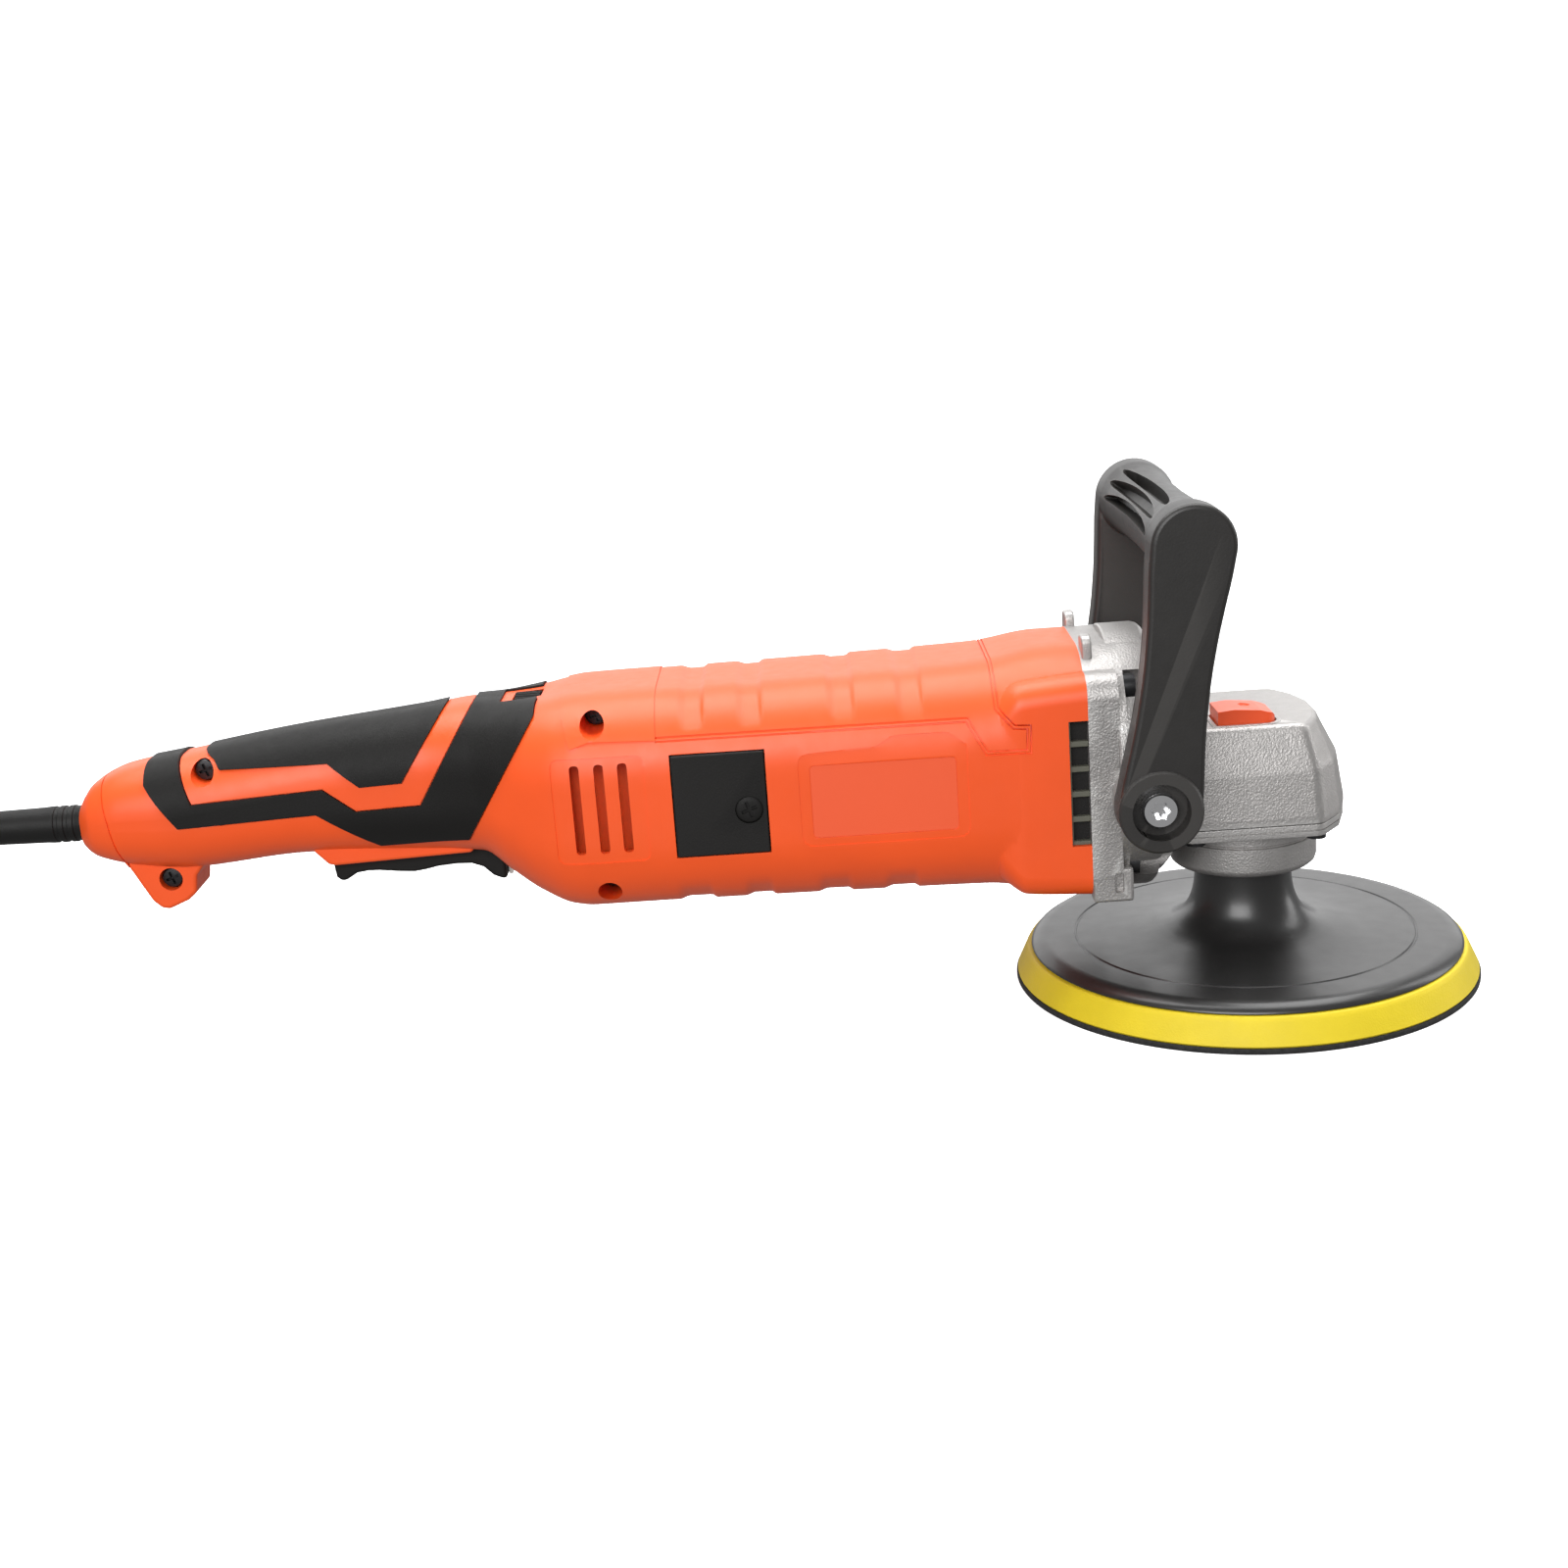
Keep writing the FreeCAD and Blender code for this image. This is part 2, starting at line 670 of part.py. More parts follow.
def build_gear_case():
    case_bottom = float(size("case_bottom"))
    case_top = float(size("case_top"))
    barrel_radius = float(size("barrel_radius"))
    barrel_front = float(size("barrel_front"))
    flange_front = float(size("flange_front"))
    seam_front = float(size("seam_front"))
    head = height_loft([(HEAD_FOOT, case_bottom), (HEAD_WAIST, WAIST_HEIGHT)])
    head = head.fuse(height_loft([(HEAD_WAIST, WAIST_HEIGHT), (HEAD_TOP, case_top)]))
    flange = lofted([(seam_front,) + FRONT_SECTION, (flange_front,) + FRONT_SECTION])
    barrel = along_motor(solid_cylinder, barrel_radius, (flange_front - 1, 0, 0), (barrel_front, 0, 0))
    neck = lofted([(barrel_front, 40, axis_z - 40, axis_z + 40, 39.5),
                   (barrel_front + 4, 37, axis_z - 36, axis_z + 34, 32),
                   (-20, 29.5, case_bottom, case_top, 8)])
    lugs = [solid_box((-53.5, side - 4, axis_z + 30), (-50.2, side + 4, axis_z + 44)) for side in (-20, 20)]
    case = head.fuse([flange, barrel, neck] + lugs)

    bearing_start, bearing_width, _, bearing_radius = FRONT_BEARING
    bearing_front = bearing_start + bearing_width
    fan_room = along_motor(solid_cylinder, 33.5, (seam_front - 1, 0, 0), (bearing_start - 3, 0, 0))
    duct = along_motor(solid_cylinder, 33.5, (seam_front, 0, 0), (-37, 0, 0))
    duct = duct.cut(along_motor(solid_cylinder, 19, (seam_front - 1, 0, 0), (-36, 0, 0)))
    seat = along_motor(solid_cylinder, bearing_radius, (bearing_start - 4, 0, 0), (bearing_front, 0, 0))
    pinion_room = along_motor(solid_cylinder, 9.5, (bearing_front - 1, 0, 0), (-15, 0, 0))
    gear_room = Part.makeCylinder(27.8, 73.0 - case_bottom + 1, Vector(0, 0, case_bottom - 1))
    top_room = Part.makeCylinder(23.5, case_top - 3.3 - 72.5, Vector(0, 0, 72.5))
    case = case.cut([fan_room, duct, seat, pinion_room, gear_room, top_room])

    # solid seats inside the hollows: top bush, lock pin guide and the two handle bosses
    journal = float(size("journal_radius"))
    spindle_top = float(size("spindle_top"))
    bush_boss = Part.makeCylinder(journal + 3, case_top - 1 - (spindle_top - 11.5),
                                  Vector(0, 0, spindle_top - 11.5))
    bush_boss = bush_boss.cut(Part.makeCylinder(journal + 1.5, 12.5, Vector(0, 0, spindle_top - 12.5)))
    forward = float(size("button_forward"))
    side = float(size("button_side"))
    half_length = float(size("button_length")) / 2 + 0.5
    half_width = float(size("button_width")) / 2 + 0.4
    shelf = solid_box((forward - 6, side - 13, 75.5), (forward + 6, side + 7, 77.5))
    shelf = shelf.common(Part.makeCylinder(24.5, 20, Vector(0, 0, 70)))
    pivot_x = float(size("arm_pivot_forward"))
    pivot_z = float(size("arm_pivot_height"))
    boss_face = float(size("arm_inner")) - 1
    bosses = [solid_cylinder(12, (pivot_x, sign * 24, pivot_z), (pivot_x, sign * boss_face, pivot_z))
              for sign in (-1, 1)]
    bosses = [boss.cut(along_motor(solid_cylinder, bearing_radius, (-60, 0, 0), (-20, 0, 0)))
              for boss in bosses]
    case = case.fuse([bush_boss, shelf] + bosses)

    button_room = solid_box((forward - half_length, side - half_width, 78),
                            (forward + half_length, side + half_width, case_top + 1))
    button_room = button_room.cut(Part.makeCylinder(journal + 3, 30, Vector(0, 0, 70)))
    pin_room = Part.makeCylinder(float(size("lock_pin_radius")) + 0.06, 10,
                                 Vector(float(size("lock_pin_forward")), float(size("lock_pin_side")), 70))
    bolt_radius = float(size("bolt_radius"))
    # in front of the neck nothing of the case hangs below its joint with the bearing box
    below = solid_box((-25.3, -50, 30), (60, 50, case_bottom))
    tools = [button_room, pin_room, below]
    for sign in (-1, 1):
        tools.append(solid_cylinder(bolt_radius + 0.05, (pivot_x, sign * 32.5, pivot_z),
                                    (pivot_x, sign * 60, pivot_z)))
    for screw_side, screw_height in CASE_SCREWS:
        tools.append(solid_cylinder(2.1, (seam_front - 1, screw_side, screw_height),
                                    (flange_front + 1, screw_side, screw_height)))
        tools.append(solid_cylinder(5.2, (flange_front, screw_side, screw_height),
                                    (-20, screw_side, screw_height)))
    for screw_forward, screw_side in BOX_SCREWS:
        tools.append(Part.makeCylinder(1.6, 9, Vector(screw_forward, screw_side, case_bottom - 1)))
    feature("gear_case", case.cut(tools).removeSplitter())


def build_bearing_box():
    box_radius = float(size("box_radius"))
    box_bottom = float(size("box_bottom"))
    plate_bottom = float(size("box_plate_bottom"))
    case_bottom = float(size("case_bottom"))
    seat_bottom = float(size("spindle_bearing_bottom"))
    seat_radius = float(size("spindle_bearing_radius"))
    flange_radius = float(size("spindle_flange_radius"))
    shape = Part.makeCylinder(box_radius, case_bottom - box_bottom, Vector(0, 0, box_bottom))
    shape = shape.fuse(plan_prism(HEAD_FOOT, plate_bottom, case_bottom))
    groove_height = 48.0
    groove = revolved([(box_radius - 0.5, groove_height), (box_radius + 1, groove_height),
                       (box_radius + 1, groove_height + 0.6), (box_radius - 0.5, groove_height + 0.6)])
    tools = [groove,
             Part.makeCylinder(seat_radius, 20, Vector(0, 0, seat_bottom)),
             Part.makeCylinder(flange_radius + 0.8, 20, Vector(0, 0, box_bottom - 1))]
    for forward, side in BOX_SCREWS:
        tools.append(Part.makeCylinder(1.7, 10, Vector(forward, side, plate_bottom - 2)))
    feature("bearing_box", shape.cut(tools))

    screws = []
    for forward, side in BOX_SCREWS:
        at = (forward, side, size("box_plate_bottom"))
        head_height = 3.0
        head = cylinder(3.1, head_height, (forward, side, size("box_plate_bottom") - head_height))
        screws.append(fused(head, cylinder(1.5, 11, at)))
    keep("bearing_box_screws", grouped(*screws))

    screws = []
    for side, height in CASE_SCREWS:
        flange_front = size("flange_front")
        head = cylinder(3.9, 3.5, (flange_front, side, height), "X")
        screws.append(fused(head, cylinder(2.0, 28, (flange_front - 28, side, height), "X")))
    keep("gear_case_screws", grouped(*screws))


# ---------------------------------------------------------------- motor housing and stator

def housing_sections():
    """Half-widths, bottoms, tops and corners of the motor housing, from the rear seam to the gear case."""
    seam_back = float(size("seam_back"))
    seam_front = float(size("seam_front"))
    return [(seam_back, 37.4, 42.5, 111.3, 23), (-120, 37.7, 41.8, 112.2, 23), (-85, 38, 41.0, 113.2, 24),
            (-64,) + FRONT_SECTION, (seam_front,) + FRONT_SECTION]


CAP_LOW = (-181.8, 62.3)
CAP_HIGH = (-153.1, 94.6)
VENT_LOW = (-60.0, 57.5)
VENT_HIGH = (-54.0, 97.3)
BRUSH_MIDDLE = -168.0


def build_motor_housing():
    seam_back = float(size("seam_back"))
    seam_front = float(size("seam_front"))
    shell = lofted(housing_sections())
    inner = [(seam_back + 3, 34.7, 45.0, 108.8, 20.5), (seam_front + 1, 35.0, 44.0, 110.0, 20.5)]
    shell = shell.cut(lofted(inner))
    # a spigot that the two handle shells close around
    spigot = along_motor(solid_cylinder, 30.6, (seam_back - 7, 0, 0), (seam_back + 1, 0, 0))
    spigot = spigot.cut(along_motor(solid_cylinder, 28.5, (seam_back - 8, 0, 0), (seam_back + 4, 0, 0)))
    start, width, _, outer = REAR_BEARING
    sleeve_radius = outer + 1.5
    boss = along_motor(solid_cylinder, sleeve_radius + 2.5, (seam_back, 0, 0), (start + width, 0, 0))
    shell = shell.fuse([spigot, boss])
    tools = [along_motor(solid_cylinder, sleeve_radius, (start, 0, 0), (start + width + 1, 0, 0)),
             along_motor(solid_cylinder, 6, (seam_back - 1, 0, 0), (start + 2, 0, 0))]
    # air slots in the rear wall, between the bearing boss and the spigot
    for index in range(8):
        slot = solid_box((seam_back - 1, -4.5, 17.5), (seam_back + 4, 4.5, 27))
        slot.rotate(Vector(0, 0, 0), Vector(1, 0, 0), 22.5 + index * 45)
        slot.translate(Vector(0, 0, axis_z))
        tools.append(slot)
    for sign in (-1, 1):
        cap_room = [sign * 34.6, sign * 45]
        tools.append(solid_box((CAP_LOW[0] - 0.2, min(cap_room), CAP_LOW[1] - 0.2),
                               (CAP_HIGH[0] + 0.2, max(cap_room), CAP_HIGH[1] + 0.2)))
        vent_room = [sign * 34.0, sign * 45]
        tools.append(solid_box((VENT_LOW[0], min(vent_room), VENT_LOW[1]),
                               (VENT_HIGH[0] + 1, max(vent_room), VENT_HIGH[1])))
    for side, height in CASE_SCREWS:
        pillar = solid_cylinder(4.2, (-73, side, height), (seam_front, side, height))
        pillar = pillar.common(lofted(housing_sections()))
        shell = shell.fuse(pillar)
        tools.append(solid_cylinder(2.05, (-71, side, height), (seam_front + 1, side, height)))
    feature("motor_housing", shell.cut(tools))

    grilles = []
    for sign in (-1, 1):
        sides = sorted((sign * 35.0, sign * 36.8))
        grille = solid_box((VENT_LOW[0], sides[0], VENT_LOW[1]), (VENT_HIGH[0], sides[1], VENT_HIGH[1]))
        gap_count = 5
        pitch = (VENT_HIGH[1] - VENT_LOW[1]) / gap_count
        for index in range(gap_count):
            low = VENT_LOW[1] + index * pitch + 0.9
            high = low + pitch - 1.8
            grille = grille.cut(solid_box((VENT_LOW[0] + 0.8, sides[0] - 1, low),
                                          (VENT_HIGH[0] - 0.8, sides[1] + 1, high)))
        grilles.append(grille)
    feature("vent_grilles", Part.makeCompound(grilles))


def build_stator():
    stator_radius = float(size("stator_radius"))
    bore = float(size("stator_bore"))
    back = float(size("core_back"))
    front = float(size("core_front"))
    stack = along_motor(solid_cylinder, stator_radius, (back, 0, 0), (front, 0, 0))
    # field slots on both sides leave an upper and a lower pole
    room = along_motor(solid_cylinder, 27, (back - 1, 0, 0), (front + 1, 0, 0))
    for sign in (-1, 1):
        low, high = sorted((sign * 18, sign * 28))
        pole = solid_box((back - 2, -11, low), (front + 2, 11, high))
        pole.translate(Vector(0, 0, axis_z))
        room = room.cut(pole)
        shoe = along_motor(solid_cylinder, 23, (back - 2, 0, 0), (front + 2, 0, 0))
        shoe = shoe.common(solid_box((back - 2, -17, axis_z + min(sign * 9, sign * 30)),
                                     (front + 2, 17, axis_z + max(sign * 9, sign * 30))))
        room = room.cut(shoe)
    stack = stack.cut([room, along_motor(solid_cylinder, bore, (back - 1, 0, 0), (front + 1, 0, 0))])
    feature("stator_core", stack)

    # each field coil: two straight sides beside its pole and an arched bundle at each end
    coils = []
    for sign in (-1, 1):
        low = min(sign * 8, sign * 32)
        high = max(sign * 8, sign * 32)
        window = solid_box((back - 12, -24, axis_z + low), (front + 12, 24, axis_z + high))
        bundle = along_motor(solid_cylinder, 26.7, (back - 8, 0, 0), (front + 8, 0, 0))
        bundle = bundle.cut(along_motor(solid_cylinder, 23.3, (back - 9, 0, 0), (front + 9, 0, 0)))
        bundle = bundle.common(window)
        gap = solid_box((back - 0.2, -11.3, axis_z - 40), (front + 0.2, 11.3, axis_z + 40))
        coils.append(bundle.cut(gap))
    feature("stator_coils", Part.makeCompound(coils))

    baffle_back = -84.0
    baffle = ring(24, 31.8, 3, (baffle_back, 0, motor_height), "X")
    keep("fan_baffle", baffle)


# ---------------------------------------------------------------- brushes

def build_brushes():
    commutator_radius = float(size("commutator_radius"))
    middle = BRUSH_MIDDLE
    holders = []
    brushes = []
    springs = []
    caps = []
    screws = []
    for sign in (-1, 1):
        def across(inner, outer, half_length, half_height):
            sides = sorted((sign * inner, sign * outer))
            return solid_box((middle - half_length, sides[0], axis_z - half_height),
                             (middle + half_length, sides[1], axis_z + half_height))
        brushes.append(across(commutator_radius + 0.05, 26, 3.0, 4.0))
        holder = across(commutator_radius + 1.5, 34.5, 4.2, 5.2)
        holders.append(holder.cut(across(commutator_radius, 35, 3.05, 4.05)))
        coil = spring(2.2, 0.35, 6, 26.05, 34.4)
        coil.rotate(Vector(0, 0, 0), Vector(1, 0, 0), -90 * sign)
        coil.translate(Vector(middle, 0, axis_z))
        springs.append(coil)
        sides = sorted((sign * 34.65, sign * 37.6))
        cap = solid_box((CAP_LOW[0], sides[0], CAP_LOW[1]), (CAP_HIGH[0], sides[1], CAP_HIGH[1]))
        screw_forward = -158.7
        cap = cap.cut([solid_cylinder(1.6, (screw_forward, sign * 30, axis_z),
                                      (screw_forward, sign * 40, axis_z)),
                       solid_cylinder(4.3, (screw_forward, sign * 36.2, axis_z),
                                      (screw_forward, sign * 40, axis_z))])
        caps.append(cap)
        head = solid_cylinder(4.2, (screw_forward, sign * 36.2, axis_z), (screw_forward, sign * 37.5, axis_z))
        shank = solid_cylinder(1.5, (screw_forward, sign * 34.7, axis_z),
                               (screw_forward, sign * 36.3, axis_z))
        screws.append(head.fuse(shank))
    feature("brush_holders", Part.makeCompound(holders))
    feature("carbon_brushes", Part.makeCompound(brushes))
    feature("brush_springs", Part.makeCompound(springs))
    feature("brush_caps", Part.makeCompound(caps))
    feature("brush_cap_screws", Part.makeCompound(screws))


# ---------------------------------------------------------------- rear handle

# forward, half width, bottom, top, corner radius
HANDLE_SECTIONS = [
    (-375.5, 8.5, 69.0, 83.0, 5.5),
    (-373.5, 11.5, 67.0, 86.3, 8.5),
    (-370.0, 15, 65.3, 90.2, 11.5),
    (-360.0, 17.6, 62.6, 94.4, 14.0),
    (-341.0, 18.8, 60.2, 97.4, 16.0),
    (-304.0, 19.2, 62.6, 102.7, 16.5),
    (-262.0, 20.2, 61.0, 106.9, 17.0),
    (-246.0, 23.5, 60.0, 108.6, 19.0),
    (-236.0, 28.0, 53.0, 108.4, 21.0),
    (-227.0, 32.5, 47.3, 108.9, 22.0),
    (-217.0, 36.4, 43.2, 110.3, 23.0),
    (-210.0, 37.4, 42.5, 111.0, 23.0),
    (-186.0, 37.4, 42.5, 111.3, 23.0),
]
HOOK = [(-365, 67), (-361, 61), (-358, 55), (-355.6, 50.4), (-353, 47.9), (-350.5, 47.4),
        (-344, 50.0), (-341, 52.5), (-340.2, 58.0), (-338.2, 61.5), (-336, 66)]
GUARD_BLOCK = [(-301.4, 66), (-301.2, 64.6), (-296.6, 59.6), (-294.5, 59.0), (-250, 60.4), (-246, 66)]
GUARD_BLOCK_HALF_WIDTH = 11.0
# forward and height of the screws that close the shells, with the depth of each counterbore
SHELL_SCREWS = [(-205.3, 104.5, 14), (-204.3, 51.0, 14), (-331.8, 93.6, 8), (-348.6, 57.6, 5)]
TRIGGER_ROOM = [(-299.5, 48), (-236.6, 48), (-236.6, 58), (-233.5, 62), (-233.5, 70), (-299.5, 70)]
CLAMP_SPAN = (-352.0, -341.0)
GRIP_PROUD = 0.9
UPPER_GRIP = [(-333.8, 103.5), (-320, 110), (-251.0, 116.0), (-268.0, 87.6), (-281.5, 87.0), (-291.1, 95.0),
              (-326.0, 94.6), (-328.1, 97.6), (-331.6, 99.4), (-334.2, 99.8)]
BAND = [(-342.2, 104.0), (-335.6, 84.5), (-293.5, 86.8), (-283.5, 79.0), (-262.8, 79.8), (-242.4, 116.0),
        (-236.0, 116.0), (-235.5, 108.6), (-223.6, 108.0), (-248.9, 67.2), (-277.9, 65.9), (-296.4, 78.9),
        (-340.8, 77.1), (-350.9, 91.1), (-351.5, 101.0)]


def build_handle_shells():
    wall = float(size("wall"))
    dial_middle = float(size("dial_middle"))
    dial_radius = float(size("dial_radius"))
    dial_height = float(size("dial_height"))
    outer = lofted(HANDLE_SECTIONS)
    inner_sections = shrunk(HANDLE_SECTIONS[1:], wall)
    inner_sections[-1] = (HANDLE_SECTIONS[-1][0] + 0.5,) + inner_sections[-1][1:]
    inner = lofted(inner_sections)
    hook = side_prism(HOOK, -9, 9)
    guard_block = side_prism(GUARD_BLOCK, -GUARD_BLOCK_HALF_WIDTH, GUARD_BLOCK_HALF_WIDTH)
    tube = outer.fuse([hook, guard_block]).cut(inner)
    guard_exit = along_motor(solid_cylinder, 6.6, (-380, 0, 0), (-360, 0, 0))
    collar = along_motor(solid_cylinder, 11.5, (-376.5, 0, 0), (-361, 0, 0))
    collar = collar.common(outer)
    groove = along_motor(solid_cylinder, 9.1, (-370.1, 0, 0), (-364.9, 0, 0))
    tube = tube.fuse(collar)
    dial_window = solid_box((dial_middle - 4.6, -7.5, dial_height), (dial_middle + 4.6, 7.5, 116))
    dial_room = solid_cylinder(dial_radius + 0.6, (dial_middle - 4.6, 0, dial_height),
                               (dial_middle + 4.6, 0, dial_height))
    trigger_room = side_prism(TRIGGER_ROOM, -7.1, 7.1)
    bosses = []
    holes = [guard_exit, groove, dial_window, dial_room, trigger_room]
    slot_half_width = 1.5
    for middle in (-211.5, -204.0, -196.7):
        for near, far in ((-45, -33), (33, 45)):
            holes.append(solid_box((middle - slot_half_width, near, 65),
                                   (middle + slot_half_width, far, 93.4)))
    for forward, height, depth in SHELL_SCREWS:
        boss = solid_cylinder(5.2, (forward, -40, height), (forward, 40, height)).common(outer.fuse(hook))
        bosses.append(boss)
        holes.append(solid_cylinder(3.8, (forward, -45, height), (forward, -depth, height)))
        holes.append(solid_cylinder(2.0, (forward, -depth - 1, height), (forward, 6.5, height)))
    # two pegs under the cord for the clamp's screws, and two ears that carry the trigger's pin
    clamp_low, clamp_high = CLAMP_SPAN
    clamp_bed = solid_box((clamp_low, -14, 62), (clamp_high, 14, axis_z - 4.1)).common(outer)
    pivot_x = float(size("trigger_pivot_forward"))
    pivot_z = float(size("trigger_pivot_height"))
    ears = [solid_box((pivot_x - 5, sign - 1.4, pivot_z - 3), (pivot_x + 5, sign + 1.4, pivot_z + 6))
            for sign in (-8.6, 8.6)]
    ribs = [solid_box((pivot_x - 5, min(sign * 8, sign * 18), pivot_z + 2),
                      (pivot_x + 5, max(sign * 8, sign * 18), pivot_z + 6)).common(outer)
            for sign in (-1, 1)]
    tube = tube.fuse(bosses + [clamp_bed] + ears + ribs)
    for sign in (-1, 1):
        holes.append(solid_cylinder(1.3, ((clamp_low + clamp_high) / 2, sign * 7.2, 64),
                                    ((clamp_low + clamp_high) / 2, sign * 7.2, 90)))
    holes.append(solid_cylinder(1.5, (pivot_x, -10.1, pivot_z), (pivot_x, 10.1, pivot_z)))
    spigot_room = along_motor(solid_cylinder, 30.7, (-193.2, 0, 0), (-185, 0, 0))
    tube = tube.cut(holes + [spigot_room])
    for node, sides in (("handle_shell_left", (0, 60)), ("handle_shell_right", (-60, 0))):
        half = tube.common(solid_box((-400, sides[0], 20), (-180, sides[1], 130)))
        feature(node, half)

    skin = lofted([(forward, half_width + GRIP_PROUD, bottom - GRIP_PROUD, top + GRIP_PROUD,
                    corner + GRIP_PROUD) for forward, half_width, bottom, top, corner in HANDLE_SECTIONS])
    skin = skin.cut(outer)
    for node, sides in (("soft_grip_left", (0, 60)), ("soft_grip_right", (-60, 0))):
        patches = side_prism(UPPER_GRIP, *sides).fuse(side_prism(BAND, *sides))
        patches = patches.cut([dial_window] + [hole for hole in holes if hole is not dial_room])
        feature(node, skin.common(patches))


def build_shell_screws():
    screws = []
    for forward, height, depth in SHELL_SCREWS:
        head = cylinder(3.5, 2.5, (forward, -depth, height), "-Y")
        screws.append(fused(head, cylinder(1.95, depth + 6, (forward, -depth, height), "Y")))
    clamp_low, clamp_high = CLAMP_SPAN
    clamp_middle = (clamp_low + clamp_high) / 2
    for sign in (-1, 1):
        head = cylinder(2.6, 2, (clamp_middle, sign * 7.2, 85.0))
        screws.append(fused(head, cylinder(1.25, 20, (clamp_middle, sign * 7.2, 65.0))))
    keep("handle_shell_screws", grouped(*screws))


# ---------------------------------------------------------------- switch, trigger and speed dial

def build_controls():
    pivot_x = size("trigger_pivot_forward")
    pivot_z = size("trigger_pivot_height")
    half_width = size("trigger_half_width")
    paddle = [(-296.2, 60), (-295.6, 53.8), (-294.0, 52.4), (-292.2, 52.8), (-288.5, 54.9), (-281.5, 54.9),
              (-270, 53.8), (-262, 55.1), (-251.5, 55.3), (-247.6, 53.9), (-244.5, 50.6), (-240.2, 49.4),
              (-240.3, 56), (-243, 60.4), (-250, 63.6), (-284, 64.6), (-287, 67.5), (-296, 67.5)]
    trigger = cut(padded(paddle, half_width * 2),
                  cylinder(1.55, 30, (pivot_x, -15, pivot_z), "Y"))
    keep("trigger", trigger)
    keep("trigger_pin", cylinder(1.49, 20, (pivot_x, -10, pivot_z), "Y"))
    keep("lock_off_tab", padded([(-240.2, 56.5), (-240.0, 49.8), (-238.9, 49.6), (-237.4, 54.5),
                                 (-238.4, 60), (-242.6, 60)], 4))

    plunger_forward = -262.0
    plunger_radius = 2.5
    switch_bottom = 72.0
    bore_top = 84.0
    switch = cut(box((-286, -8, switch_bottom), (-248, 8, 94)),
                 cylinder(plunger_radius + 0.06, bore_top - switch_bottom + 1,
                          (plunger_forward, 0, switch_bottom - 1)))
    keep("switch_body", switch)
    plunger_top = 75.0
    keep("switch_plunger", cylinder(plunger_radius, plunger_top - 64.9, (plunger_forward, 0, 64.9)))
    feature("plunger_spring", spring(1.8, 0.3, 5, plunger_top + 0.05, bore_top - 0.05,
                                     (plunger_forward, 0.0)))

    dial_middle = size("dial_middle")
    dial_height = size("dial_height")
    wheel = cylinder(size("dial_radius"), 8, (dial_middle - 4, 0, dial_height), "X")
    axle = cylinder(2.5, 9, (dial_middle + 3, 0, dial_height), "X")
    dial = fused(wheel, axle)
    keep("speed_dial", dial)
    module_low = dial_middle + 6
    module = cut(box((module_low, -13, 86), (module_low + 9.5, 13, 104)),
                 cylinder(2.56, 7, (module_low - 1, 0, dial_height), "X"))
    keep("speed_control", module)


# ---------------------------------------------------------------- spindle lock

def build_lock():
    forward = size("button_forward")
    side = size("button_side")
    half_length = size("button_length") / 2
    half_width = size("button_width") / 2
    top = size("button_top")
    bottom = size("button_bottom")
    clear_of_bush = 8.0
    wedge = padded([(-half_length, bottom), (half_length, bottom), (half_length, top - 2.4),
                    (half_length - 5, top - 0.4), (half_length - 12, top), (-half_length, top - 0.6)],
                   half_width * 2, (forward, side, 0))
    button = cut(wedge, cylinder(clear_of_bush, 40, (0, 0, 60)))
    keep("lock_button", button)
    radius = size("lock_pin_radius")
    pin_forward = size("lock_pin_forward")
    pin_side = size("lock_pin_side")
    pin_bottom = 71.2
    keep("lock_pin", cylinder(radius, bottom - pin_bottom, (pin_forward, pin_side, pin_bottom)))
    feature("lock_spring", spring(3.6, 0.4, 4, 77.6, float(bottom) - 0.1,
                                  (float(pin_forward), float(pin_side))))


# ---------------------------------------------------------------- front handle

